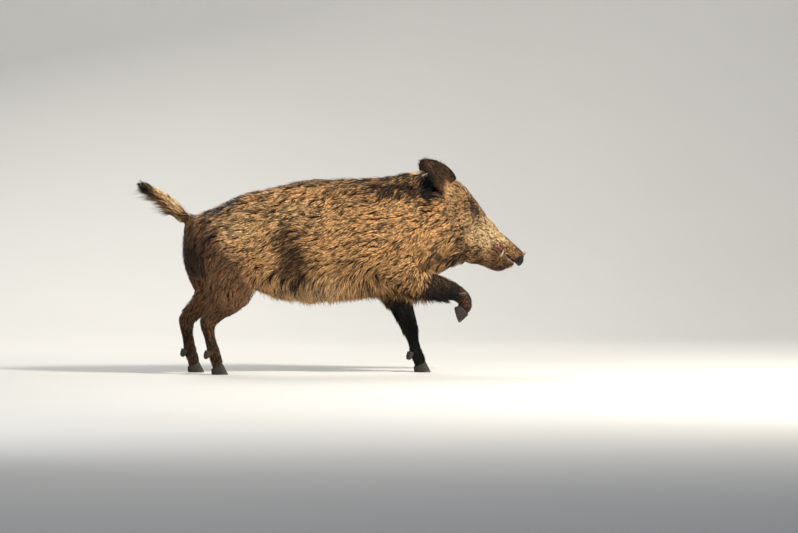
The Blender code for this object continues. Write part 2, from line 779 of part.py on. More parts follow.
def set_ears(nodes):
    """Ears laid back for the run, the left one further than the right."""
    for name, side, tip, front in (
        ("ear_right", -1, (-0.66, -0.30, 0.69), (0.30, -0.93, -0.12)),
        ("ear_left", 1, (-0.68, 0.24, 0.70), (0.30, 0.93, -0.05)),
    ):
        root = head_point(0.385, side * 0.050, 0.040)
        made = ear(name, root, tip, front, 0.140, 0.088, 0.95)
        for neighbour in ("head", "neck"):
            made = cut(made, swollen(nodes[neighbour], GAP))
        nodes[name] = made


def set_mouth(nodes):
    """The disc, the lining of the mouth and the two small tusks."""
    nodes["snout_disc"] = snout_disc()
    lining = gums()
    for side in (-1, 1):
        nodes["lower_jaw"] = cut(nodes["lower_jaw"], tusk(side, GAP))
        lining = cut(lining, tusk(side, GAP))
        solid = tusk(side)
        nodes[solid.name] = solid
    nodes["gums"] = lining


def centre(nodes):
    """Shifts every node so that the origin is on the floor under the middle of the animal."""
    points = [vert.co for made in nodes.values() for vert in made.data.vertices]
    low = Vector([min(point[k] for point in points) for k in range(3)])
    high = Vector([max(point[k] for point in points) for k in range(3)])
    shift = Matrix.Translation((-(low.x + high.x) / 2, -(low.y + high.y) / 2, -low.z))
    for made in nodes.values():
        made.data.transform(shift)


def main():
    nodes = named_bodies(part_flesh(fused_flesh()))
    set_hooves(nodes)
    set_eyes(nodes)
    set_ears(nodes)
    set_mouth(nodes)
    centre(nodes)
    for name, made in nodes.items():
        made.name = name
        made.data.name = name
        made.data.materials.clear()
        made.data.materials.append(material_for(name))
        made.data.shade_smooth()
        made.data.set_sharp_from_angle(angle=math.radians(40))


main()
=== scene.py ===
"""The looks of a life-size wild boar model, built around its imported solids.

One skin stands for all the flesh. Over it lie the tufts of the coat, which are solid
meshes made by the thousand from arrays, and beside it the eyes, hooves, tusks and snout.
"""

import math

import bmesh
import bpy
import numpy as np
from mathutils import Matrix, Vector, kdtree
from mathutils.bvhtree import BVHTree


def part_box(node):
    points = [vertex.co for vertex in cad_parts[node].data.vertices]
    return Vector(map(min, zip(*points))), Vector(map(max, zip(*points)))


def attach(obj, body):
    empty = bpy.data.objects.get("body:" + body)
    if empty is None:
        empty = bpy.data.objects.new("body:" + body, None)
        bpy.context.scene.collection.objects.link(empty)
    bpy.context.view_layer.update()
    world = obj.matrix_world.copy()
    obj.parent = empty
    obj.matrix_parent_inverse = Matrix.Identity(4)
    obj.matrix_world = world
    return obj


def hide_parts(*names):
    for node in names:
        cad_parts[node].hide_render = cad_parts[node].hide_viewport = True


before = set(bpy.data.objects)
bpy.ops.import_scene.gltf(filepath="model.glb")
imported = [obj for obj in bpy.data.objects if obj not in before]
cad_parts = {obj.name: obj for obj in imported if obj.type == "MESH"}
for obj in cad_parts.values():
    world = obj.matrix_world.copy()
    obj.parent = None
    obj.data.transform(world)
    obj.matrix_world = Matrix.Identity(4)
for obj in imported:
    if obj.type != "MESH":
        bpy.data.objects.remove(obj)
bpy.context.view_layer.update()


# ==== Room =====================================================================
# A pale floor that sweeps up into a pale wall well behind, a warm key lamp high in
# front of the snout, and softer lamps all round. From behind the wall is clear, so that
# the far flank can be seen as well. None of it belongs to the animal.

VIEW_TURN, VIEW_RISE = math.radians(-8.0), math.radians(1.6)
VIEW_DISTANCE = 25.0
VIEW_WIDTH = 2.913  # breadth of the view at the animal
VIEW_TARGET = Vector((0.247, 0.0, 0.386))
SENSOR = 36.0
FLOOR_FRONT, FLOOR_BACK, FLOOR_SIDE = -40.0, 3.0, 30.0
SWEEP_RADIUS, SWEEP_STEPS, WALL_TOP = 2.5, 12, 14.0
FLOOR_TONES = (0.56, 0.555, 0.535), (0.6, 0.595, 0.575)
ROOM_TONE, ROOM_STRENGTH = (0.84, 0.9, 1.0, 1), 0.42
LAMP_AIM = Vector((0.05, 0, 0.42))
LAMPS = (  # name, place, breadth, watts, colour
    ("key_lamp", (2.9, -2.7, 3.4), 0.9, 400, (1.0, 0.93, 0.82)),
    ("fill_lamp", (-3.2, -4.2, 2.0), 3.0, 60, (0.9, 0.95, 1.0)),
    ("back_lamp", (-0.8, 3.4, 3.2), 2.5, 130, (1.0, 0.96, 0.9)),
)


def finish(name, roughness=0.6, specular=0.5, coat=0.0, coat_roughness=0.03):
    """A new Principled material, with its tree and its shader."""
    material = bpy.data.materials.new(name)
    material.use_nodes = True
    shader = material.node_tree.nodes["Principled BSDF"]
    shader.inputs["Roughness"].default_value = roughness
    shader.inputs["Specular IOR Level"].default_value = specular
    shader.inputs["Coat Weight"].default_value = coat
    shader.inputs["Coat Roughness"].default_value = coat_roughness
    return material, material.node_tree, shader


def add(tree, kind, inputs=None, **settings):
    """A node with its settings. Its inputs are given by name or number, as values or as links."""
    node = tree.nodes.new(kind)
    for key, value in settings.items():
        setattr(node, key, value)
    for key, value in (inputs or {}).items():
        if isinstance(value, bpy.types.NodeSocket):
            tree.links.new(value, node.inputs[key])
        else:
            node.inputs[key].default_value = value
    return node


def blend(tree, share, *ends, kind="MIX"):
    """The colour that far from the first to the second."""
    first, second = ((*end, 1) if isinstance(end, tuple) else end for end in ends)
    inputs = {0: share, 6: first, 7: second}
    return add(tree, "ShaderNodeMix", inputs, data_type="RGBA", blend_type=kind).outputs[2]


def own_place(tree):
    return add(tree, "ShaderNodeTexCoord").outputs["Object"]


def noise(tree, place, scale, detail, **more):
    """The value of a noise texture at a place."""
    inputs = {"Vector": place, "Scale": scale, "Detail": detail, **more}
    return add(tree, "ShaderNodeTexNoise", inputs).outputs["Fac"]


def paint(shader, colour, roughness=None, height=None, strength=0.0, distance=0.0):
    """Joins a colour to a shader, and a roughness and a bump where they are given."""
    tree = shader.id_data
    tree.links.new(colour, shader.inputs["Base Color"])
    if roughness:
        tree.links.new(roughness, shader.inputs["Roughness"])
    if height:
        inputs = {"Height": height, "Strength": strength, "Distance": distance}
        tree.links.new(add(tree, "ShaderNodeBump", inputs).outputs[0], shader.inputs["Normal"])


def new_mesh(name, points, faces):
    """An object from arrays of points and of faces with equally many corners."""
    mesh = bpy.data.meshes.new(name)
    points = np.ascontiguousarray(points, np.float32)
    faces = np.ascontiguousarray(faces, np.int32)
    corners = faces.shape[1]
    mesh.vertices.add(len(points))
    mesh.vertices.foreach_set("co", points.ravel())
    mesh.loops.add(faces.size)
    mesh.loops.foreach_set("vertex_index", faces.ravel())
    mesh.polygons.add(len(faces))
    mesh.polygons.foreach_set("loop_start", np.arange(0, faces.size, corners, dtype=np.int32))
    mesh.polygons.foreach_set("loop_total", np.full(len(faces), corners, np.int32))
    mesh.update(calc_edges=True)
    mesh.shade_smooth()
    made = bpy.data.objects.new(name, mesh)
    bpy.context.scene.collection.objects.link(made)
    return made


floor_paint, tree, shader = finish("floor_paint", 0.8, 0.15)
paint(shader, blend(tree, noise(tree, own_place(tree), 1.3, 3.0), *FLOOR_TONES))
behind = add(tree, "ShaderNodeNewGeometry").outputs["Backfacing"]
clear = add(tree, "ShaderNodeBsdfTransparent").outputs[0]
seen = add(tree, "ShaderNodeMixShader", {0: behind, 1: shader.outputs[0], 2: clear}).outputs[0]
tree.links.new(seen, tree.nodes["Material Output"].inputs["Surface"])
sweep = [(FLOOR_FRONT, 0.0), (FLOOR_BACK, 0.0)]
for a in np.linspace(0, math.pi / 2, SWEEP_STEPS + 1)[1:]:
    sweep.append((FLOOR_BACK + SWEEP_RADIUS * math.sin(a), SWEEP_RADIUS - SWEEP_RADIUS * math.cos(a)))
sweep.append((FLOOR_BACK + SWEEP_RADIUS, WALL_TOP))
points = [(x, y, z) for y, z in sweep for x in (-FLOOR_SIDE, FLOOR_SIDE)]
floor = new_mesh("floor", points, [(2 * k, 2 * k + 1, 2 * k + 3, 2 * k + 2) for k in range(len(sweep) - 1)])
floor.data.materials.append(floor_paint)

world = bpy.data.worlds.new("soft_room")
bpy.context.scene.world = world
world.use_nodes = True
world.node_tree.nodes["Background"].inputs["Color"].default_value = ROOM_TONE
world.node_tree.nodes["Background"].inputs["Strength"].default_value = ROOM_STRENGTH
for name, place, size, watts, colour in LAMPS:
    lamp = bpy.data.objects.new(name, bpy.data.lights.new(name, "AREA"))
    lamp.data.shape, lamp.data.size = "DISK", size
    lamp.data.energy, lamp.data.color = watts, colour
    lamp.location = place
    lamp.rotation_euler = (LAMP_AIM - Vector(place)).to_track_quat("-Z", "Y").to_euler()
    bpy.context.scene.collection.objects.link(lamp)

camera = bpy.data.objects.new("camera", bpy.data.cameras.new("camera"))
bpy.context.scene.collection.objects.link(camera)
level = math.cos(VIEW_RISE)
away = Vector((math.sin(VIEW_TURN) * level, -math.cos(VIEW_TURN) * level, math.sin(VIEW_RISE)))
camera.location = VIEW_TARGET + away * VIEW_DISTANCE
camera.rotation_euler = (-away).to_track_quat("-Z", "Y").to_euler()
camera.data.sensor_width = SENSOR
camera.data.lens = SENSOR * VIEW_DISTANCE / VIEW_WIDTH
camera.data.clip_end = 100.0
bpy.context.scene.camera = camera
bpy.context.scene.view_settings.view_transform = "Standard"


# ==== Skin =====================================================================
# The bare hide under the coat, in one piece from snout to tail: the solids of flesh
# grown together, rounded, and drawn in by the depth of the coat at each place.

FLESH_TABLE = (  # nodes, lie of the hair, coat depth, tuft length and breadth, tufts per square metre,
    # darkness, paleness, redness
    ("trunk", (-0.9, 0, -0.42), 0.014, 0.044, 0.0031, 60000, 0.16, 0.22, 0.0),
    ("neck", (-0.8, 0, -0.6), 0.014, 0.044, 0.0031, 62000, 0.22, 0.2, 0.0),
    ("head", (-0.8, 0, 0.4), 0.0055, 0.0145, 0.0019, 165000, 0.22, 0.36, 0.0),
    ("lower_jaw", (-0.85, 0, 0.1), 0.0058, 0.017, 0.0018, 125000, 0.66, 0.05, 0.35),
    ("thigh_right thigh_left", (-0.36, 0, -0.93), 0.011, 0.036, 0.003, 68000, 0.16, 0.05, 0.62),
    ("shank_right shank_left", (-0.5, 0, -0.86), 0.0075, 0.026, 0.0027, 80000, 0.5, 0.0, 0.8),
    ("hindfoot_right hindfoot_left", (0.1, 0, -0.99), 0.0042, 0.015, 0.002, 115000, 0.92, 0.0, 0.5),
    ("forearm_right", (0.9, 0, -0.44), 0.007, 0.027, 0.0026, 85000, 0.72, 0.0, 0.6),
    ("forearm_left", (0.34, -0.35, -0.87), 0.007, 0.027, 0.0026, 85000, 0.7, 0.0, 0.7),
    ("forefoot_right", (-0.25, 0, -0.97), 0.0042, 0.014, 0.002, 120000, 0.78, 0.0, 0.8),
    ("forefoot_left", (0.18, -0.1, -0.98), 0.0042, 0.015, 0.002, 115000, 0.92, 0.0, 0.5),
    ("tail", (-0.79, 0, 0.61), 0.0055, 0.046, 0.0024, 190000, 0.2, 0.4, 0.1),
    ("tail_tuft", (-0.86, 0, 0.45), 0.005, 0.05, 0.0024, 200000, 1.05, 0.0, 0.0),
    ("ear_right", (-0.66, -0.3, 0.69), 0.002, 0.017, 0.0015, 200000, 0.92, 0.0, 0.7),
    ("ear_left", (-0.68, 0.24, 0.7), 0.002, 0.017, 0.0015, 200000, 0.92, 0.0, 0.7),
)
FLESH = {name: (*row[1], *row[2:]) for row in FLESH_TABLE for name in row[0].split()}
FLESH_NAMES = list(FLESH)
EARS = ("ear_right", "ear_left")
EYES = ("eye_right", "eye_left")
CLAWS = ("hoof", "dewclaw")
BARE_NAMES = [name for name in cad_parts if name.startswith((*CLAWS, "snout_disc", "eye"))]
SKIN_GRAIN = 0.007
SKIN_TRIANGLES = 150000
SWELL = 0.0008  # how far the solids are grown, so that they join
LENS_CORE = 0.6  # share of a lens that is grown evenly
FAR = 1.0  # stands for any distance that isn't measured
LENSES = (  # middle, reach and power of the spaces grown at a finer grain: face and ears
    ((0.6, 0.0, 0.49), 0.24, 2.7),
    ((0.385, 0.0, 0.735), 0.18, 2.3),
)


def node_arrays(name):
    """Merged points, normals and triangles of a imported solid."""
    shape = bmesh.new()
    shape.from_mesh(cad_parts[name].data)
    bmesh.ops.remove_doubles(shape, verts=shape.verts, dist=1e-5)
    shape.normal_update()
    points = np.array([v.co for v in shape.verts])
    normals = np.array([v.normal for v in shape.verts])
    shape.verts.index_update()
    faces = np.array([[v.index for v in f.verts] for f in shape.faces])
    shape.free()
    return points, normals, faces


def tree_of(name):
    """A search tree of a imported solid."""
    points, _, faces = node_arrays(name)
    return BVHTree.FromPolygons(points.tolist(), faces.tolist())


def middle(name):
    low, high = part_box(name)
    return (np.array(low) + np.array(high)) / 2


def ease(edge, far, values):
    """0 at one edge and 1 at the other, smooth between."""
    t = np.clip((values - edge) / (far - edge), 0, 1)
    return t * t * (3 - 2 * t)


def fade(edge, far, values):
    return 1 - ease(edge, far, values)


def within(values, edge, far, back, end):
    """1 between two slopes and 0 outside them."""
    return ease(edge, far, values) * fade(back, end, values)


def bell(values):
    return np.exp(-values ** 2)


def aimed(vector):
    return vector / np.linalg.norm(vector)


def unit(vectors):
    return vectors / np.maximum(np.linalg.norm(vectors, axis=1, keepdims=True), 1e-9)


def ripple(points, span, seed):
    """Smooth noise of about -1 to 1 with waves of about that span."""
    chance = np.random.default_rng(seed)
    total = np.zeros(len(points))
    for _ in range(9):
        way = chance.normal(size=3)
        way *= 2 * math.pi / (span * np.linalg.norm(way) * chance.uniform(0.7, 1.5))
        total += np.sin(points @ way + chance.uniform(0, 2 * math.pi))
    return total / 3.0


def through_lens(points, lens, back=False):
    """Points moved away from the middle of a lens, or back to where they were."""
    centre, reach, power = lens
    near = np.linspace(0, 3, 6001)
    far = np.cumsum(1 + (power - 1) * fade(LENS_CORE * reach, reach, near)) * (near[1] - near[0])
    away = points - np.array(centre)
    radius = np.linalg.norm(away, axis=1)
    moved = np.interp(radius, far, near) if back else np.interp(radius, near, far)
    return np.array(centre) + away * (moved / np.maximum(radius, 1e-9))[:, None]


def grown(name, points, faces, grain):
    """Points, edges and square faces of the even skin round some closed shapes."""
    blank = new_mesh(name, points, faces)
    remesh = blank.modifiers.new("grain", "REMESH")
    remesh.mode = "VOXEL"
    remesh.voxel_size = grain
    mesh = bpy.data.meshes.new_from_object(blank.evaluated_get(bpy.context.evaluated_depsgraph_get()))
    points = np.empty(len(mesh.vertices) * 3, np.float32)
    mesh.vertices.foreach_get("co", points)
    edges = np.empty(len(mesh.edges) * 2, np.int32)
    mesh.edges.foreach_get("vertices", edges)
    faces = np.array([tuple(p.vertices) for p in mesh.polygons if len(p.vertices) == 4])
    bpy.data.objects.remove(blank)
    bpy.data.meshes.remove(mesh)
    return points.reshape(-1, 3).astype(float), edges.reshape(-1, 2), faces


def relax(values, edges, rounds, share=0.5):
    """Values at a mesh's points, each drawn towards its neighbours' mean, some rounds over."""
    values = np.array(values, float)
    flat = values.reshape(len(values), -1)
    a, b = edges.T
    count = np.maximum(np.bincount(a, minlength=len(flat)) + np.bincount(b, minlength=len(flat)), 1)
    for _ in range(rounds):
        for k in range(flat.shape[1]):
            column = flat[:, k]
            total = np.bincount(a, column[b], len(flat)) + np.bincount(b, column[a], len(flat))
            flat[:, k] = column + share * (total / count - column)
    return flat.reshape(values.shape)


def outward(points, faces):
    """Normals that point out of a closed mesh of squares, and its faces turned to match."""
    a, b, c, d = (points[faces[:, k]] for k in range(4))
    square = np.cross(c - a, d - b)
    if (square * (a + c)).sum() < 0:
        square, faces = -square, faces[:, ::-1]
    total = np.zeros_like(points)
    for k in range(4):
        for axis in range(3):
            total[:, axis] += np.bincount(faces[:, k], square[:, axis], len(points))
    return unit(total), faces


points, faces, total = [], [], 0
for name in FLESH_NAMES + BARE_NAMES:
    node_points, node_normals, node_faces = node_arrays(name)
    points.append(node_points + node_normals * SWELL)
    faces.append(node_faces + total)
    total += len(node_points)
points = np.concatenate(points)
for lens in LENSES:
    points = through_lens(points, lens)
skin_points, skin_edges, skin_faces = grown("skin_blank", points, np.concatenate(faces), SKIN_GRAIN)
for lens in reversed(LENSES):
    skin_points = through_lens(skin_points, lens, back=True)

# Each point takes the values of the nearest solid, and the values blend along the skin.
BLEND_ROUNDS, BORDER_ROUNDS, TIP_ROUNDS = 30, 60, 40
solids = [node_arrays(name) for name in FLESH_NAMES]
starts = np.cumsum([0] + [len(solid[0]) for solid in solids])
solid_tree = BVHTree.FromPolygons(
    np.concatenate([solid[0] for solid in solids]).tolist(),
    np.concatenate([solid[2] + start for solid, start in zip(solids, starts)]).tolist(),
)
owner = np.concatenate([np.full(len(solid[2]), k) for k, solid in enumerate(solids)])
label = owner[[solid_tree.find_nearest(p)[2] for p in skin_points.tolist()]]


def which(numbers, kinds):
    """True at the numbers of the solids whose names start so."""
    return np.isin(numbers, [k for k, name in enumerate(FLESH_NAMES) if name.startswith(kinds)])


def on(*kinds):
    """True at the skin's points that lie on the solids of these kinds."""
    return which(label, kinds)


def gap_to(name, chosen):
    """The distance of the chosen points of the skin to a solid."""
    gap, solid = np.full(len(skin_points), FAR), tree_of(name)
    gap[chosen] = [solid.find_nearest(p)[3] for p in skin_points[chosen].tolist()]
    return gap


def distance(points, place):
    return np.linalg.norm(points - place, axis=1)


border = np.zeros(len(skin_points))
split = skin_edges[label[skin_edges[:, 0]] != label[skin_edges[:, 1]]]
border[split.ravel()] = 1
mouth = middle("gums")
to_mouth = distance(skin_points, mouth)
border = np.clip(relax(border, skin_edges, 5) * 3, 0, 1) * ease(0.05, 0.09, to_mouth)
border *= 1 - 0.95 * ease(0.46, 0.5, -skin_points[:, 0]) * ease(0.5, 0.54, skin_points[:, 2])
values = relax(np.array(list(FLESH.values()))[label], skin_edges, BLEND_ROUNDS)

crisp = 1 - bell(to_mouth / 0.04)
skin_points = relax(skin_points, skin_edges, 10, 0.5 * (0.25 + 0.75 * crisp))
skin_points = relax(skin_points, skin_edges, BORDER_ROUNDS, 0.5 * border)
for name in EARS:  # the tips of the ears are blunt
    ear = np.flatnonzero(on(name))
    tip = skin_points[ear[(skin_points[ear] @ (-0.75, 0, 0.66)).argmax()]]
    blunt = bell(distance(skin_points, tip) / 0.02)
    skin_points = relax(skin_points, skin_edges, TIP_ROUNDS, 0.5 * blunt)
normals, skin_faces = outward(skin_points, skin_faces)

# How deep the hide lies: less on the face, and least at the lips and at their seam.
depth = values[:, 3].copy()
to_disc = distance(skin_points, middle("snout_disc"))
depth *= 0.25 + 0.75 * ease(0.03, 0.15, to_disc)
off_disc = gap_to("snout_disc", np.flatnonzero(to_disc < 0.06))
depth += 0.011 * fade(0.001, 0.003, off_disc)
to_eye = np.min([distance(skin_points, middle(name)) for name in EYES], axis=0)
depth *= 0.35 + 0.65 * ease(0.012, 0.045, to_eye)
by_gums = np.flatnonzero(to_mouth < 0.07)
to_gum = gap_to("gums", by_gums)
lips = fade(0.0035, 0.0075, to_gum)
jaws = np.sort(label[skin_edges], 1) == np.sort([FLESH_NAMES.index("head"), FLESH_NAMES.index("lower_jaw")])
seam = skin_points[skin_edges[jaws.all(1)]].mean(1)
seam = seam[(seam[:, 0] > mouth[0] + 0.012) & (seam[:, 0] < 0.683)]
to_seam = np.full(len(skin_points), FAR)
ahead = np.flatnonzero((to_mouth < 0.1) & (skin_points[:, 0] > mouth[0]))
to_seam[ahead] = np.sqrt(((skin_points[ahead, None] - seam[None]) ** 2).sum(2).min(1))
parted = bell(to_seam / 0.0044)
depth *= 1 - 0.8 * np.maximum(lips, parted)


def spot(points, centre, size):
    """1 in the middle of an oval spot and 0 well outside it, alike on both flanks."""
    away = (np.abs(points) * (0, 1, 0) + points * (1, 0, 1) - np.array(centre)) / np.array(size)
    return np.exp(-(away ** 2).sum(1))


# Muscles, bones and folds that show through the coat.
BULGES = (  # middle, size, height
    ((0.3, 0.14, 0.5), (0.07, 0.08, 0.11), 0.007),  # shoulder
    ((0.175, 0.16, 0.46), (0.03, 0.08, 0.13), -0.006),  # hollow behind the shoulder
    ((-0.195, 0.14, 0.4), (0.035, 0.08, 0.1), -0.009),  # fold of the flank
    ((-0.255, 0.13, 0.37), (0.026, 0.08, 0.09), 0.006),  # edge of the thigh
    ((-0.45, 0.12, 0.47), (0.04, 0.08, 0.05), 0.004),  # seat of the rump
    ((0.515, 0.06, 0.612), (0.02, 0.02, 0.012), 0.005),  # brow
    ((0.505, 0.07, 0.56), (0.03, 0.03, 0.012), 0.0035),  # cheek bone
    ((0.555, 0.05, 0.52), (0.045, 0.02, 0.018), -0.004),  # hollow before the cheek
    ((0.605, 0.045, 0.478), (0.03, 0.02, 0.014), 0.0025),  # root of the upper tusk
    ((0.455, 0.08, 0.48), (0.04, 0.05, 0.05), 0.005),  # jowl
    ((0.672, 0.04, 0.437), (0.014, 0.02, 0.016), 0.003),  # flare behind the snout
    ((0.648, 0.0, 0.468), (0.03, 0.012, 0.02), 0.0015),  # gristle of the nose
    ((0.655, 0.02, 0.392), (0.016, 0.03, 0.01), 0.0022),  # chin
    ((0.59, 0.05, 0.42), (0.018, 0.02, 0.016), 0.003),  # corner of the mouth
)
relief = np.zeros(len(skin_points))
for centre, size, height in BULGES:
    relief += height * spot(skin_points, centre, size)
relief += 0.0012 * bell((to_gum - 0.0052) / 0.0022)
relief += 0.001 * bell((to_seam - 0.0068) / 0.0022) - 0.0055 * parted
relief += 0.0006 * ripple(skin_points, 0.009, 12) * fade(0.03, 0.06, to_disc)
relief -= 0.005 * bell(to_eye / 0.016)
smooth_normals = unit(relax(normals, skin_edges, 6))
skin_points = skin_points + smooth_normals * (relief - depth)[:, None]
skin_points = relax(skin_points, skin_edges, 2, 0.5 * crisp)
normals, skin_faces = outward(skin_points, skin_faces)
skin_tree = BVHTree.FromPolygons(skin_points.tolist(), skin_faces.tolist())
skin = new_mesh("skin", skin_points, skin_faces)

MARKS_AND_LIGHT = (  # middle, size, added darkness, paleness and redness; some rows are painted shade or painted highlights
    ((-0.165, 0.02, 0.685), (0.03, 0.08, 0.016), 0.35, 0, 0),  # back
    ((0.43, 0.07, 0.668), (0.014, 0.06, 0.03), -1.2, 0.6, 0),  # golden front of the ear
    ((-0.122, 0.14, 0.395), (0.036, 0.2, 0.065), 0.22, 0, 0),  # painted shade in the middle of the flank's fold
    ((-0.236, 0.14, 0.4), (0.018, 0.2, 0.075), -0.5, 0, 0),  # golden strip behind it
    ((-0.36, 0.14, 0.53), (0.1, 0.2, 0.05), 0, 0.3, 0),  # croup
    ((-0.34, 0.12, 0.58), (0.1, 0.2, 0.07), -0.14, 0, 0),
    ((-0.15, 0.14, 0.59), (0.13, 0.2, 0.05), 0, 0.25, 0),
    ((0.42, 0.0, 0.42), (0.07, 0.1, 0.05), 0.45, 0, 0),  # painted shade under the throat
    ((0.62, 0.02, 0.515), (0.055, 0.05, 0.036), 0, 0.75, 0),  # painted highlight on the bridge of the nose; the next two rows make the side of the muzzle paler
    ((0.585, 0.05, 0.488), (0.06, 0.05, 0.04), 0, 0.6, 0),
    ((0.59, 0.05, 0.495), (0.08, 0.05, 0.055), -0.45, 0, 0),
    ((0.578, 0.05, 0.428), (0.017, 0.06, 0.036), -0.55, 0.4, 0),  # corner of the jaw
    ((0.5, 0.04, 0.625), (0.055, 0.07, 0.03), 0.4, 0, 0),  # forehead
    ((0.475, 0.08, 0.5), (0.022, 0.08, 0.045), 0.25, 0, 0),  # cheek
    ((0.52, 0.05, 0.53), (0.07, 0.06, 0.055), 0, 0.45, 0),
    ((0.672, 0.02, 0.45), (0.03, 0.05, 0.022), 0.3, 0, 0),  # behind the snout
    ((0.525, 0.06, 0.44), (0.045, 0.08, 0.03), 0.6, 0, 0),  # jowl
    ((0.655, 0.02, 0.4), (0.04, 0.05, 0.02), 0, 0, 0.45),  # chin
)
FOLD_SHADE = (  # middle, size and strength of the three spots that make up the painted shade in the fold of the flank
    ((-0.132, 0.14, 0.425), (0.054, 0.2, 0.085), 1.0),
    ((-0.18, 0.14, 0.495), (0.042, 0.2, 0.055), 0.8),
    ((-0.175, 0.14, 0.325), (0.06, 0.2, 0.036), 0.5),
)
MANE = ((0.0, 0.35), (0.07, 0.5), (0.14, 0.75), (0.21, 1.0), (0.28, 1.0), (0.34, 0.8))  # place, strength
DARKEST, LIGHTEST = (1.6, 1, 1), (-0.35, 0, 0)


def markings_and_light(points, facing, base, on_ear):
    """Darkness, paleness and redness from the solids' own values and from marks at given places, some of
    them painted shade and painted highlights.
    """
    x, _, z = points.T
    up = facing[:, 2]
    total = base.copy()

    def mark(where, dark=0.0, pale=0.0, red=0.0):
        total[:] += where[:, None] * (dark, pale, red)

    trunk = within(x, -0.5, -0.44, 0.4, 0.46) * ease(0.3, 0.36, z)
    mark(trunk * ease(0.8, 0.97, up) * ease(-0.36, -0.3, x), 0.25)
    mark(within(x, -0.47, -0.42, -0.34, -0.28) * ease(0.62, 0.82, up), 1.1)  # top of the rump
    for x_at, strength in MANE:
        mark(spot(points, (x_at + 0.01, 0.08, 0.664 + 0.07 * x_at), (0.042, 0.1, 0.036)), strength)
    nape = spot(points, (0.37, 0.08, 0.676), (0.018, 0.1, 0.052)) ** 0.6  # behind the ear: dark hair with the painted shadow of the ear over it
    mark(nape * (1 - on_ear), 2.2)
    behind = 0.75 * spot(points, (0.396, 0.08, 0.668), (0.018, 0.06, 0.034))  # root of the ear
    mark(behind * (0.42 - total[:, 0]), 1)
    mark(behind, red=1)
    mark(within(x, 0.3, 0.34, 0.385, 0.405) * ease(0.84, 0.96, up) * (1 - on_ear), -1.1, 1.0)  # painted highlight along the top of the crest at the withers
    # the painted shade of the fold, joined from its three spots
    spots = [1 - strength * spot(points, centre, size) for centre, size, strength in FOLD_SHADE]
    mark(1 - np.prod(spots, axis=0), 0.64, 0, 0.7)
    haunch = fade(-0.43, -0.37, x + 0.36 * (z - 0.48))
    mark(haunch * within(z, 0.35, 0.45, 0.545, 0.59), 0.34, 0, 0.95)  # side of the rump
    # painted shade on the rear-facing seat of the rump
    seat = ease(0.4, 0.9, -facing[:, 0]) * fade(-0.5, -0.45, x)
    mark(seat * within(z, 0.3, 0.4, 0.46, 0.58), 0.55, 0, 0.4)
    thigh = fade(0.425, 0.48, z + 0.25 * (x + 0.35)) * fade(-0.285, -0.255, x) * ease(0.2, 0.28, z)
    mark(thigh, 0, 0, 0.6)
    mark(thigh * ease(0.36, 0.41, z), 0.1)
    mark(thigh * fade(0.27, 0.33, z), -0.28)
    on_tail = fade(-0.575, -0.545, x - 0.6 * (z - 0.56))
    mark(on_tail * ease(-0.1, 0.5, up), 0, 1)
    mark(on_tail * ease(0.0, 0.5, up) * ease(-0.69, -0.63, x), -0.5)
    mark(on_tail * ease(0.05, 0.55, -up), 0.9)
    mark(on_tail * fade(-0.66, -0.6, x), 0.45)  # end of the tail
    # painted shade low on the flank
    low_side = fade(0.34, 0.44, z) * fade(0.3, 0.8, -up)
    mark(low_side * within(x, -0.25, -0.18, 0.05, 0.12), 0.16)
    mark(within(x, 0.04, 0.13, 0.42, 0.48) * fade(0.28, 0.38, z), 0.75)  # chest
    mark(within(x, -0.27, -0.2, 0.0, 0.08) * ease(0.3, 0.8, -up), -0.16, 0.45)  # fringe
    mark(within(x, 0.56, 0.58, 0.635, 0.655) * ease(0.3, 0.7, up), -0.5, 1.0)  # painted highlight on the top of the nose
    for centre, size, *change in MARKS_AND_LIGHT:
        mark(spot(points, centre, size), *change)
    for name in EYES:
        mark(bell(distance(points, middle(name)) / 0.018), 0.8)
    return np.clip(total, LIGHTEST, DARKEST)


def give(mesh, name, rows):
    """Stores a row of three numbers at each of a mesh's points."""
    layer = mesh.attributes.new(name, "FLOAT_VECTOR", "POINT")
    layer.data.foreach_set("vector", np.ascontiguousarray(rows, np.float32).ravel())


def times(tree, first, second):
    return add(tree, "ShaderNodeMath", {0: first, 1: second}, operation="MULTIPLY").outputs[0]


def plus(tree, first, second, clamp=False):
    return add(tree, "ShaderNodeMath", {0: first, 1: second}, operation="ADD", use_clamp=clamp).outputs[0]


def ramp(tree, value, low, high, to_low=0.0, to_high=1.0):
    """A value eased from one range into another."""
    inputs = {"Value": value, "From Min": low, "From Max": high, "To Min": to_low, "To Max": to_high}
    return add(tree, "ShaderNodeMapRange", inputs, interpolation_type="SMOOTHSTEP").outputs[0]


def given(tree, name):
    """What is stored under a name at the mesh's points."""
    return add(tree, "ShaderNodeAttribute", attribute_name=name).outputs["Vector"]


def split_up(tree, vector):
    return add(tree, "ShaderNodeSeparateXYZ", {"Vector": vector}).outputs


GOLD_TIP, PALE_TIP, RED_TIP = (0.84, 0.44, 0.16), (1.0, 0.72, 0.38), (0.3, 0.165, 0.085)
ROOT_TONE, SHAFT_TONE, DULL_TONE = (0.016, 0.008, 0.004), (0.165, 0.065, 0.018), (0.62, 0.4, 0.2)
NIGHT_ROOT, NIGHT_TIP, BLACK = (0.01, 0.006, 0.004), (0.07, 0.038, 0.018), (0.0045, 0.0045, 0.0045)
FUR_INPUTS = {"Marks": "Vector", "Along": "Float", "Chance": "Float", "Lock": "Float", "Place": "Vector"}


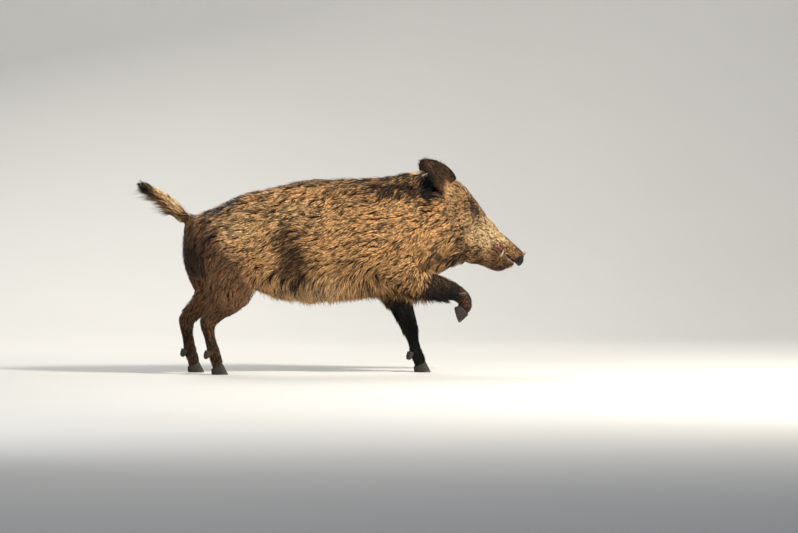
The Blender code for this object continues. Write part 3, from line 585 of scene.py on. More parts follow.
def fur_colours():
    """A group that turns the marks, the place along a hair and its own chance into a colour."""
    group = bpy.data.node_groups.new("fur_colours", "ShaderNodeTree")
    for socket, kind in FUR_INPUTS.items():
        group.interface.new_socket(socket, in_out="INPUT", socket_type="NodeSocket" + kind)
    group.interface.new_socket("Colour", in_out="OUTPUT", socket_type="NodeSocketColor")
    entry, leave = group.nodes.new("NodeGroupInput").outputs, group.nodes.new("NodeGroupOutput")
    dark, pale, red = split_up(group, entry["Marks"])
    along = entry["Along"]
    broad = noise(group, entry["Place"], 22.0, 4.0, Roughness=0.65)
    fleck = ramp(group, noise(group, entry["Place"], 125.0, 2.0), 0.36, 0.62, -0.34, 0.46)
    fleck = times(group, fleck, plus(group, 0.2, times(group, pale, 0.9)))
    sway = plus(group, ramp(group, broad, 0.3, 0.7, -0.2, 0.2), fleck)
    luck = plus(group, times(group, entry["Chance"], 0.44), times(group, entry["Lock"], 0.56))
    tip = blend(group, red, blend(group, pale, GOLD_TIP, PALE_TIP), RED_TIP)
    body = blend(group, ramp(group, along, 0.1, 0.45), ROOT_TONE, SHAFT_TONE)
    pale_by = plus(group, 0.34, times(group, pale, -0.2))
    body = blend(group, ramp(group, along, pale_by, plus(group, pale_by, 0.46)), body, tip)
    body = blend(group, ramp(group, luck, 0.5, 0.95, 0.0, 0.5), body, DULL_TONE, kind="MULTIPLY")
    spread = plus(group, plus(group, 1.0, times(group, red, -0.58)), times(group, pale, 0.8))
    chances = times(group, ramp(group, luck, 0.08, 0.85, 0.56, -0.46), spread)
    shade = plus(group, plus(group, dark, sway), chances, clamp=True)
    night = blend(group, ramp(group, along, 0.3, 1.0), NIGHT_ROOT, NIGHT_TIP)
    night = blend(group, ramp(group, dark, 1.1, 1.5), night, BLACK)
    bright = add(group, "ShaderNodeVectorMath", {0: blend(group, shade, body, night)}, operation="SCALE")
    group.links.new(ramp(group, entry["Chance"], 0.0, 1.0, 0.66, 1.36), bright.inputs["Scale"])
    group.links.new(bright.outputs[0], leave.inputs["Colour"])
    return group


def coloured(tree, **inputs):
    """The colour of the fur from its group's inputs."""
    used = add(tree, "ShaderNodeGroup", node_tree=FUR_COLOURS)
    for socket, value in inputs.items():
        if isinstance(value, float):
            used.inputs[socket].default_value = value
        else:
            tree.links.new(value, used.inputs[socket])
    return used.outputs["Colour"]


FUR_COLOURS = fur_colours()
on_ear = relax(on("ear").astype(float), skin_edges, 4)
marks = markings_and_light(skin_points, normals, values[:, 7:10], ease(0.2, 0.6, on_ear))
to_gum = gap_to("gums", by_gums)
lips = np.maximum(fade(0.004, 0.0085, to_gum), fade(0.0055, 0.01, to_seam))
bare = np.maximum(lips, fade(0.0015, 0.0065, off_disc))
below = relax(on("lower_jaw").astype(float), skin_edges, 2)
pink = lips * below * ease(0.0, 0.025, skin_points[:, 0] - mouth[0]) * (1 - parted)
give(skin.data, "marks", marks)
give(skin.data, "bare", np.stack([bare, pink, parted], 1))

# Fewer faces where the coat hides the skin most.
covered = skin.vertex_groups.new(name="covered")
share = ease(0.1, 0.2, to_mouth) * ease(0.02, 0.05, to_eye) * (1 - 0.7 * on("ear"))
for k in range(11):
    covered.add(np.flatnonzero(np.round(share * 10) == k).tolist(), k / 10, "REPLACE")
thin = skin.modifiers.new("thin", "DECIMATE")
thin.ratio = SKIN_TRIANGLES / (2 * len(skin_faces))
thin.vertex_group = "covered"
shown = bpy.data.meshes.new_from_object(skin.evaluated_get(bpy.context.evaluated_depsgraph_get()))
skin.modifiers.clear()
skin.data = shown
shown.name = "skin"
skin.vertex_groups.clear()
shown.shade_smooth()

hide, tree, shader = finish("hide", 0.72, 0.25)
where = own_place(tree)
pores = noise(tree, where, 420.0, 3.0)
fur = coloured(tree, Marks=given(tree, "marks"), Place=where, Chance=pores, Lock=pores, Along=0.26)
bare_in, pink_in, seam_shade = split_up(tree, given(tree, "bare"))
leather = blend(tree, pores, (0.035, 0.022, 0.017), (0.115, 0.07, 0.05))
leather = blend(tree, pink_in, leather, (0.5, 0.27, 0.2))
# the seam between the lips is painted near black as its shade
leather = blend(tree, seam_shade, leather, (0.012, 0.006, 0.005))
dryness = ramp(tree, bare_in, 0.0, 1.0, 0.72, 0.42)
paint(shader, blend(tree, bare_in, fur, leather), dryness, pores, 0.35, 0.002)
skin.data.materials.append(hide)
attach(skin, "root")
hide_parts(*FLESH_NAMES)


# ==== Eyes =====================================================================
# Small dark wet balls set deep in the head, each held by an upper and a lower lid of
# bare wrinkled skin. The lids run out under the short hair round them.

EYE_SLIT = (0.0066, 0.0034, 0.003)  # half length, rise of the upper lid, drop of the lower
EYE_SUNK = 0.9  # how deep the ball's middle lies under the skin, in its radii
LID_REACH = (0.0135, 0.0115)  # half breadth and half height of the lids
LID_ROWS = (  # how far out from the slit, thickness over the ball
    (0.0, 0.0002), (0.02, 0.0012), (0.1, 0.0019), (0.22, 0.0017), (0.32, 0.0009),
    (0.42, 0.0018), (0.6, 0.0014), (0.8, 0.0004), (1.0, -0.0012),
)
LID_SPREAD = 0.22  # how far out from the slit a lid leaves the ball for the skin
EYE_TURNS, EYE_RINGS = 48, 23
MUZZLE = np.array((0.786, 0.0, -0.618))  # from the forehead to the snout


def eye_frame(name):
    """Middle and radius of an eye, and its ways out of the head, to the snout and up."""
    low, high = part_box(name)
    centre = middle(name)
    close = np.linalg.norm(skin_points - centre, axis=1) < 0.03
    out = aimed(normals[close].mean(0) + np.array((0.1, 0, 0.0)))
    front = aimed(MUZZLE - out * (MUZZLE @ out))
    above = np.cross(out, front) * -np.sign(centre[1])
    radius = (high[0] - low[0]) / 2
    hit = np.array(skin_tree.find_nearest(centre + out * radius)[0])
    centre = centre + out * ((hit - centre) @ out - radius * EYE_SUNK)
    return centre, radius, out, front, above


ball_parts, lid_parts = [], []
around = np.linspace(0, 2 * math.pi, EYE_TURNS, endpoint=False)
cosine, sine = np.cos(around), np.sin(around)
for name in EYES:
    centre, radius, out, front, above = eye_frame(name)
    spokes = front * cosine[:, None] + above * sine[:, None]
    rows = []
    for a in np.linspace(0, math.pi, EYE_RINGS + 2)[1:-1]:
        rows.append(centre + radius * (out * math.cos(a) + spokes * math.sin(a)))
    ball_parts.append((np.array(rows), centre + radius * out, centre - radius * out))
    rise = np.where(sine > 0, EYE_SLIT[1], EYE_SLIT[2]) * sine * np.abs(sine) ** 0.35
    slit = np.stack([EYE_SLIT[0] * cosine, rise], 1)
    outer = np.stack([LID_REACH[0] * cosine, LID_REACH[1] * sine], 1)
    flat = centre + outer[:, :1] * front + outer[:, 1:] * above + out * radius
    edge = np.array([skin_tree.find_nearest(p)[0] for p in flat.tolist()])
    sunk = edge - out * 0.0012
    rings = [centre + 0.9 * (slit[:, :1] * front + slit[:, 1:] * above) + out * radius * 0.55]
    for share, thickness in LID_ROWS:
        flat = slit * (1 - share) + outer * share
        ball = np.sqrt(np.maximum((radius + thickness) ** 2 - (flat ** 2).sum(1), (0.45 * radius) ** 2))
        height = ball + 0.0014 * np.clip(sine, 0, 1) * math.sin(math.pi * min(1.0, share * 1.8))
        ring = centre + flat[:, :1] * front + flat[:, 1:] * above + height[:, None] * out
        outwards = ease(LID_SPREAD, 1.0, share)
        straight = (centre + out * radius) * (1 - share) + sunk * share + out * thickness
        rings.append(ring * (1 - outwards) + straight * outwards)
    rings.append(rings[-1] - out * 0.004)
    lid_parts.append((np.array(rings), rings[0].mean(0), rings[-1].mean(0)))


def closed_rings(parts):
    """Points and triangles of closed shapes given as rings, with a point before and after them."""
    points, faces, total = [], [], 0
    for rings, first, last in parts:
        rows, ring = rings.shape[:2]
        points += [rings.reshape(-1, 3), first[None], last[None]]
        k = np.arange(ring)
        n = (k + 1) % ring
        for row in range(rows - 1):
            a, b = total + row * ring, total + (row + 1) * ring
            faces += [np.stack([a + k, a + n, b + n], 1), np.stack([a + k, b + n, b + k], 1)]
        end = total + (rows - 1) * ring
        faces += [np.stack([total + n, total + k, np.full(ring, total + rows * ring)], 1)]
        faces += [np.stack([end + k, end + n, np.full(ring, total + rows * ring + 1)], 1)]
        total += rows * ring + 2
    return np.concatenate(points), np.concatenate(faces)


def faced_out(made):
    """Turns a closed mesh's faces outwards."""
    shape = bmesh.new()
    shape.from_mesh(made.data)
    bmesh.ops.recalc_face_normals(shape, faces=shape.faces)
    shape.to_mesh(made.data)
    shape.free()
    made.data.shade_smooth()
    return made


eyes = faced_out(new_mesh("eyes", *closed_rings(ball_parts)))
look = np.zeros((len(eyes.data.vertices), 3))
eye_points = np.array([v.co for v in eyes.data.vertices])
for name in EYES:
    centre, radius, out, front, above = eye_frame(name)
    mine = np.sign(eye_points[:, 1]) == np.sign(centre[1])
    gaze = aimed(out + 0.25 * front)
    off = eye_points[mine] - centre
    look[mine, 0] = np.degrees(np.arccos(np.clip(off @ gaze / radius, -1, 1))) / 90
    look[mine, 1] = np.arctan2(off @ above, off @ front)
give(eyes.data, "look", look)
wet_eye, tree, shader = finish("wet_eye", 0.12, 0.6, coat=0.6)
off_gaze, turn, _ = split_up(tree, given(tree, "look"))
rays_at = add(tree, "ShaderNodeCombineXYZ", {"X": times(tree, turn, 14.0), "Y": off_gaze}).outputs["Vector"]
iris = blend(tree, noise(tree, rays_at, 1.6, 2.0), (0.03, 0.012, 0.005), (0.115, 0.05, 0.018))
iris = blend(tree, ramp(tree, off_gaze, 0.13, 0.17), (0.002, 0.002, 0.002), iris)  # pupil
iris = blend(tree, ramp(tree, off_gaze, 0.38, 0.46), iris, (0.012, 0.008, 0.006))
iris = blend(tree, ramp(tree, off_gaze, 0.62, 0.8), iris, (0.22, 0.12, 0.09))
paint(shader, iris)
eyes.data.materials.append(wet_eye)
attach(eyes, "root")
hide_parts("eye_right", "eye_left")

eyelids = faced_out(new_mesh("eyelids", *closed_rings(lid_parts)))
give(eyelids.data, "marks", np.full((len(eyelids.data.vertices), 3), (0.92, 0.0, 0.15)))
lid_skin, tree, shader = finish("lid_skin", 0.5, 0.35)
folds = noise(tree, own_place(tree), 260.0, 4.0, Distortion=0.8)
paint(shader, blend(tree, folds, (0.012, 0.008, 0.006), (0.05, 0.029, 0.02)), None, folds, 0.7, 0.0012)
eyelids.data.materials.append(lid_skin)
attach(eyelids, "root")


# ==== Snout ====================================================================
# The flat disc of gristle at the end of the muzzle, with two nostrils and a raised rim.
# Its bare skin is wet and finely pitted, black in front and paler on the upper rim.


def rounded_copy(names, grain, rounds, swell=0.0):
    """The even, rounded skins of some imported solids: points, edges, faces and the solid of each point."""
    lists, total = ([], [], [], []), 0
    for k, name in enumerate(names):
        node_points, node_normals, node_faces = node_arrays(name)
        blank = node_points + node_normals * (swell + 0.0002)
        p, e, f = grown("blank_" + name, blank, node_faces, grain)
        low, high = p.min(0), p.max(0)
        p = relax(p, e, rounds)
        p = (p - p.min(0)) / (p.max(0) - p.min(0)) * (high - low) + low
        for found, more in zip(lists, (p, e + total, f + total, np.full(len(p), k))):
            found.append(more)
        total += len(p)
    return [np.concatenate(found) for found in lists]


# The disc's shape is worked out from the height on it, across it and ahead of it.
disc_points, disc_edges, disc_faces, _ = rounded_copy(["snout_disc"], 0.001, 8)
disc_normals, disc_faces = outward(disc_points, disc_faces)
off = disc_points - disc_points.mean(0)
spread = np.linalg.svd(off, full_matrices=False)[2]
disc_axis = spread[2] * np.sign(spread[2][0])
disc_up = aimed(np.array((0, 0, 1.0)) - disc_axis * disc_axis[2])
rise, sideways, ahead = off @ disc_up, off[:, 1], off @ disc_axis
radius = np.sqrt(rise ** 2 + sideways ** 2)
reach = radius.max()
tilt = rise / reach
front = ease(0.2, 0.8, disc_normals @ disc_axis)
nostril = ((np.abs(sideways) - 0.4 * reach) / (0.19 * reach)) ** 2
nostril = bell(nostril + ((rise + 0.02 * reach) / (0.25 * reach)) ** 2)
rim = bell((radius / reach - 0.9) / 0.09)
dish = fade(0.0, 0.8, radius / reach) * 0.0012
wrinkles = 0.00012 * ripple(disc_points, 0.01, 21) + 0.00005 * ripple(disc_points, 0.004, 22)
disc_points = disc_points + disc_axis[None] * (front * (0.0016 * rim - dish - 0.009 * nostril))[:, None]
disc_points = disc_points + disc_normals * (wrinkles * (1 - nostril))[:, None]
drawn = -0.0045 * bell((tilt - 0.3) / 0.3) + 0.0022 * bell((tilt + 0.35) / 0.35)
drawn = drawn - 0.006 * fade(-1.0, -0.65, tilt) + 0.002 * ease(0.65, 0.95, tilt)
drawn = drawn * ease(-0.3, 0.5, ahead / np.abs(ahead).max())
disc_points = relax(disc_points + disc_axis[None] * drawn[:, None], disc_edges, 1)
snout = new_mesh("snout", disc_points, disc_faces)
give(snout.data, "face", np.stack([tilt, np.clip(1.6 * nostril, 0, 1) * (ahead > 0), front], 1))
wet_snout, tree, shader = finish("wet_snout", 0.45, 0.35, coat=0.12, coat_roughness=0.25)
where = own_place(tree)
height_in, nostril_shade, _ = split_up(tree, given(tree, "face"))
cells = add(tree, "ShaderNodeTexVoronoi", {"Vector": where, "Scale": 900.0}).outputs["Distance"]
grime = noise(tree, where, 130.0, 4.0)
high = ramp(tree, plus(tree, height_in, ramp(tree, grime, 0.3, 0.7, -0.16, 0.16)), 0.3, 0.75)
pad = blend(tree, high, (0.006, 0.005, 0.005), (0.36, 0.22, 0.15))
pad = blend(tree, ramp(tree, grime, 0.5, 0.8, 0.0, 0.35), pad, (0.06, 0.04, 0.03))
# painted shade inside the nostrils
pad = blend(tree, nostril_shade, pad, (0.004, 0.003, 0.003))
paint(shader, pad, ramp(tree, grime, 0.3, 0.7, 0.38, 0.6), cells, 0.5, 0.0008)
snout.data.materials.append(wet_snout)
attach(snout, "root")
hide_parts("snout_disc")


# ==== Mouth ====================================================================
# The lips part at the side over wet red gums, and the tusks stand out between them.
# The tusks are smooth ivory, stained where they leave the gum.

gum_points, _, gum_faces, _ = rounded_copy(["gums"], 0.0011, 6, swell=0.0022)
gum_normals, gum_faces = outward(gum_points, gum_faces)
gum_points = gum_points + gum_normals * (0.0007 * ripple(gum_points, 0.014, 31))[:, None]
gums = new_mesh("gum_flesh", gum_points, gum_faces)
wet_gum, tree, shader = finish("wet_gum", 0.22, 0.5, coat=0.6, coat_roughness=0.1)
blood = noise(tree, own_place(tree), 75.0, 2.0)
gum_tone = blend(tree, ramp(tree, blood, 0.35, 0.65), (0.04, 0.006, 0.005), (0.23, 0.04, 0.03))
paint(shader, gum_tone, None, blood, 0.4, 0.001)
gums.data.materials.append(wet_gum)
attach(gums, "root")
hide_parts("gums")

tusk_points, _, tusk_faces, tusk_owner = rounded_copy(["tusk_right", "tusk_left"], 0.0006, 5)
tusks = new_mesh("tusks", tusk_points, tusk_faces)
stain = np.zeros((len(tusk_points), 3))
for k in (0, 1):
    mine = tusk_owner == k
    z_here = tusk_points[mine, 2]
    stain[mine, 0] = (z_here - z_here.min()) / np.ptp(z_here)
give(tusks.data, "stain", stain)
ivory, tree, shader = finish("ivory", 0.32, 0.5, coat=0.3)
lines = noise(tree, own_place(tree), 300.0, 3.0)
stained = ramp(tree, split_up(tree, given(tree, "stain"))["X"], 0.45, 0.0, 0.0, 0.75)
bone = blend(tree, lines, (0.42, 0.33, 0.21), (0.62, 0.54, 0.4))
paint(shader, blend(tree, stained, bone, (0.33, 0.2, 0.09)), None, lines, 0.2, 0.0004)
tusks.data.materials.append(ivory)
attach(tusks, "root")
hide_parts("tusk_right", "tusk_left")


# ==== Hooves ===================================================================
# Two pointed claws of dark horn on each foot, with growth rings, and two small
# dewclaws higher up behind them. The horn is worn pale along the edge it stands on.

RING_SPAN, RING_RISE = 0.005, 0.00013  # of the growth rings

horn, tree, shader = finish("horn", 0.55, 0.3)
down_share, down_reach, on_dewclaw = split_up(tree, given(tree, "growth"))
ring_at = add(tree, "ShaderNodeCombineXYZ", {"X": times(tree, down_reach, 520.0)}).outputs["Vector"]
rings = noise(tree, ring_at, 1.0, 2.0)
scuffs = noise(tree, own_place(tree), 160.0, 5.0)
wall = blend(tree, rings, (0.006, 0.005, 0.0038), (0.034, 0.026, 0.018))
wall = blend(tree, ramp(tree, scuffs, 0.5, 0.75, 0.0, 0.45), wall, (0.08, 0.063, 0.043))
wall = blend(tree, ramp(tree, down_share, 0.78, 1.0, 0.0, 0.55), wall, (0.17, 0.145, 0.1))
wall = blend(tree, times(tree, on_dewclaw, ramp(tree, scuffs, 0.3, 0.6)), wall, (0.04, 0.026, 0.018))
uneven = plus(tree, times(tree, rings, 0.6), times(tree, scuffs, 0.4))
paint(shader, wall, ramp(tree, scuffs, 0.3, 0.7, 0.48, 0.72), uneven, 0.5, 0.001)

for kind, grain, rounds in (("hoof", 0.0014, 9), ("dewclaw", 0.0012, 7)):
    names = [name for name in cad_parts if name.startswith(kind + "_")]
    claw_points, _, claw_faces, claw_owner = rounded_copy(names, grain, rounds)
    claw_normals, claw_faces = outward(claw_points, claw_faces)
    growth = np.zeros((len(claw_points), 3))
    growth[:, 2] = kind == "dewclaw"
    for k, name in enumerate(names):
        mine = claw_owner == k
        down = aimed(middle(name) - middle(name.split("_", 1)[1].rsplit("_", 1)[0]))
        along = claw_points[mine] @ down
        growth[mine, 1] = along - along.min()
        growth[mine, 0] = growth[mine, 1] / np.ptp(along)
    sway = 1.8 * ripple(claw_points, 0.025, 41)
    rings = RING_RISE * np.sin(growth[:, 1] * 2 * math.pi / RING_SPAN + sway)
    claw_points = claw_points + claw_normals * (rings * fade(0.8, 1.0, growth[:, 0]))[:, None]
    claw_points[:, 2] = np.maximum(claw_points[:, 2], 0)
    claws = new_mesh("hooves" if kind == "hoof" else "dewclaws", claw_points, claw_faces)
    give(claws.data, "growth", growth)
    claws.data.materials.append(horn)
    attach(claws, "root")
    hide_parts(*names)


# ==== Coat =====================================================================
# Bristles in tapered tufts that lie back over one another in locks. Each tuft is a
# closed three-sided blade, rooted in the hide, that follows the lie of the hair.

LOCK_REACH = 0.01  # furthest that a tuft leans over to its lock
LOCK_LENGTH = 2.6  # how much longer than broad the ground of a lock is
OVERHANG = 0.002  # least height of a hair's tip above the floor
ROOT_DEPTH = 0.0015  # how far below the hide a tuft starts
DROOP = 0.22  # how far free hair sinks, in its lengths
STRAYS = 0.03  # share of tufts that stand off the coat
PATCH = 0.0015  # half breadth of a tuft's place on its map

rng = np.random.default_rng(7)
x, y, z = skin_points.T
up = normals[:, 2]
length, breadth, crowd = values[:, 4].copy(), values[:, 5].copy(), values[:, 6].copy()
body = ease(0.03, 0.042, length) * ease(0.24, 0.3, z) * ease(-0.56, -0.5, x)


def along_skin(flow):
    return flow - normals * (flow * normals).sum(1, keepdims=True)


# How steeply the hair falls on the trunk: shallow on the flank, steep below and on the mane.
fall = 0.42 + 0.45 * fade(0.3, 0.46, z) + 0.5 * ease(-0.06, 0.08, x) * ease(0.6, 0.68, z)
fall += 0.9 * ease(0.3, 0.85, -up)
fall += 1.0 * fade(-0.49, -0.42, x) * fade(0.54, 0.6, z)
arm = spot(skin_points, (0.345, 0.12, 0.345), (0.07, 0.2, 0.06)) * (y < 0)
cheek = ease(0.035, 0.062, np.abs(y)) * within(x, 0.4, 0.46, 0.54, 0.6) * (1 - body)
bridge = ease(0.45, 0.5, x) * (1 - cheek) * ease(0.2, 0.6, up)
lie = values[:, :3]
for share, flow in (
    (body, np.stack([-np.cos(fall), 0 * fall, -np.sin(fall)], 1)),
    (arm, np.array([0.1, 0, -0.99])),
    (cheek, np.array([-0.93, 0, -0.3])),
    (bridge, np.array([-0.786, 0, 0.618])),
):
    lie = lie * (1 - share[:, None]) + flow * share[:, None]
lie = relax(unit(along_skin(lie)), skin_edges, 24)
parting = 1 - np.linalg.norm(lie, axis=1)
crowd *= 1 + 0.9 * ease(0.08, 0.45, parting) * (values[:, 4] > 0.022)
lie = unit(along_skin(lie))
wave = 0.22 * ripple(skin_points, 0.11, 3) + 0.16 * ripple(skin_points, 0.045, 4)
lie = unit(lie * np.cos(wave)[:, None] + np.cross(normals, lie) * np.sin(wave)[:, None])

# Places with a growth of their own, and what each adds to the length of the hair, to how
# free it is of the skin and to how far it stands off.
sharpness = 1 - np.linalg.norm(relax(normals, skin_edges, 9), axis=1)
tail_end = on("tail_tuft")
tail = relax((on("tail") & ~tail_end).astype(float), skin_edges, 4)
under_tail = ease(-0.1, 0.6, -up) * tail
GROWTHS = (
    (ease(0.55, 0.92, up) * body * ease(-0.1, 0.05, x), 0.35, 0.15, 0.05),  # mane
    (body * ease(0.25, 0.75, -up) * within(x, -0.33, -0.25, 0.34, 0.4), 0.55, 0.6, 0.22),  # belly
    (ease(0.25, 0.7, -up) * within(x, 0.38, 0.44, 0.62, 0.66) * ease(0.36, 0.37, z), 0.15, 0.1, 0),  # beard
    (ease(0.1, 0.7, -up) * on("forearm"), 0.55, 0.5, 0.25),  # elbow
    (ease(0.1, 0.4, sharpness) * on("ear"), 0.4, 0.7, 0.4),  # rim of the ear
    (under_tail, 0.45, 0.6, 0.45),
    (under_tail * ease(-0.65, -0.6, x), 0.35, 0, 0.25),
    (spot(skin_points, (0.43, 0.07, 0.668), (0.016, 0.06, 0.034)), 0.8, 0.25, 0),  # before the ear
    (relax(tail_end.astype(float), skin_edges, 6), 0, 0.8, 0.3),
)
longer, free, lift = (sum(growth[k] * growth[0] for growth in GROWTHS) for k in (1, 2, 3))
length *= 1 + longer
length *= 0.35 + 0.65 * ease(-0.72, -0.62, x)
length *= 0.45 + 0.55 * ease(0.02, 0.14, to_disc)
length *= 0.55 + 0.45 * ease(0.015, 0.05, to_eye)
buttock = ease(0.45, 0.85, -normals[:, 0]) * fade(-0.52, -0.47, x) * ease(0.28, 0.36, z)
free = np.clip(free + 0.12 * buttock * fade(0.47, 0.5, z), 0, 1)
crowd *= ease(0.0025, 0.006, off_disc) * ease(0.008, 0.011, to_eye)
crowd *= fade(0.3, 0.8, lips) * (1 - 0.35 * ease(0.4, 0.8, -up) * body)
for name in BARE_NAMES:
    if name.startswith(CLAWS):
        low, high = (np.array(corner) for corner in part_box(name))
        claw_tree = tree_of(name)
        near = np.all((skin_points > low - 0.002) & (skin_points < high + 0.002), axis=1)
        for i in np.flatnonzero(near).tolist():
            hit, out, _, gap = claw_tree.find_nearest(skin_points[i])
            if gap < 0.0008 or (Vector(skin_points[i]) - hit).dot(out) < 0:
                crowd[i] = 0
depth = values[:, 3] * (1 + 0.5 * ease(-0.605, -0.565, x) * tail)
fields = np.concatenate([np.stack([depth, length, breadth, free, lift], 1), marks], 1)

# Roots, spread evenly over the faces of the skin.
corners = skin_points[skin_faces]
area = 0.5 * np.linalg.norm(np.cross(corners[:, 2] - corners[:, 0], corners[:, 3] - corners[:, 1]), axis=1)
count = np.floor(crowd[skin_faces].mean(1) * area + rng.random(len(area))).astype(int)
root_face = np.repeat(np.arange(len(skin_faces)), count)
a, b = rng.random((2, len(root_face)))
share = np.stack([(1 - a) * (1 - b), a * (1 - b), a * b, (1 - a) * b], 1)[:, :, None]
roots = (corners[root_face] * share).sum(1)
facing = unit((normals[skin_faces[root_face]] * share).sum(1))
at_root = (fields[skin_faces[root_face]] * share).sum(1)
zone = label[skin_faces[root_face, 0]]
face_lie = unit(lie[skin_faces].mean(1))


def turned(flow, normal, angle):
    """Directions laid into the surface and turned about its normal."""
    flow = unit(flow - normal * (flow * normal).sum(1, keepdims=True))
    return flow * np.cos(angle)[:, None] + np.cross(normal, flow) * np.sin(angle)[:, None]


def in_locks(place, flow, tufts_each):
    """For each tuft the number of its lock, and how far it stands to the lock's side."""
    leads = np.sort(rng.choice(len(place), max(1, len(place) // tufts_each), replace=False))
    look = kdtree.KDTree(len(leads))
    for k, i in enumerate(leads.tolist()):
        look.insert(place[i], k)
    look.balance()
    most = min(5, len(leads))
    near = np.array([[found[1] for found in look.find_n(p, most)] for p in place.tolist()])
    offset = place[:, None] - place[leads][near]
    along = (offset * flow[:, None]).sum(2)
    sideways = offset - along[:, :, None] * flow[:, None]
    score = (sideways ** 2).sum(2) + (along / LOCK_LENGTH) ** 2
    best = score.argmin(1)
    rows = np.arange(len(place))
    sideways = sideways[rows, best]
    apart = np.maximum(np.linalg.norm(sideways, axis=1, keepdims=True), 1e-9)
    return near[rows, best], sideways * np.minimum(1, LOCK_REACH / apart)


def unwrapped(place, zones):
    """Each root's place on a flat map: round its limb and along it, one strip for each limb."""
    flat = np.zeros((len(place), 2))
    found = np.unique(zones)
    for k, here in enumerate(found):
        mine = zones == here
        limb = skin_points[label == here]
        axis = np.linalg.eigh(np.cov((limb - limb.mean(0)).T))[1][:, 2]
        off = place[mine] - limb.mean(0)
        along = off @ axis
        across = off - along[:, None] * axis
        first = aimed(across.mean(0))
        turn = np.arctan2(across @ np.cross(axis, first), across @ first)
        flat[mine, 0] = (k + 0.01 + 0.98 * (turn - turn.min()) / np.ptp(turn)) / len(found)
        flat[mine, 1] = (along - along.min()) / np.ptp(along)
    return 2 * PATCH + (1 - 4 * PATCH) * flat


def bake_map(made, patch):
    """A UV map from the place on the flat map of each of a mesh's points."""
    corner_of = np.empty(len(made.data.loops), np.int32)
    made.data.loops.foreach_get("vertex_index", corner_of)
    spread = patch.reshape(-1, 2)[corner_of].astype(np.float32)
    made.data.uv_layers.new(name="OFBake").data.foreach_set("uv", spread.ravel())


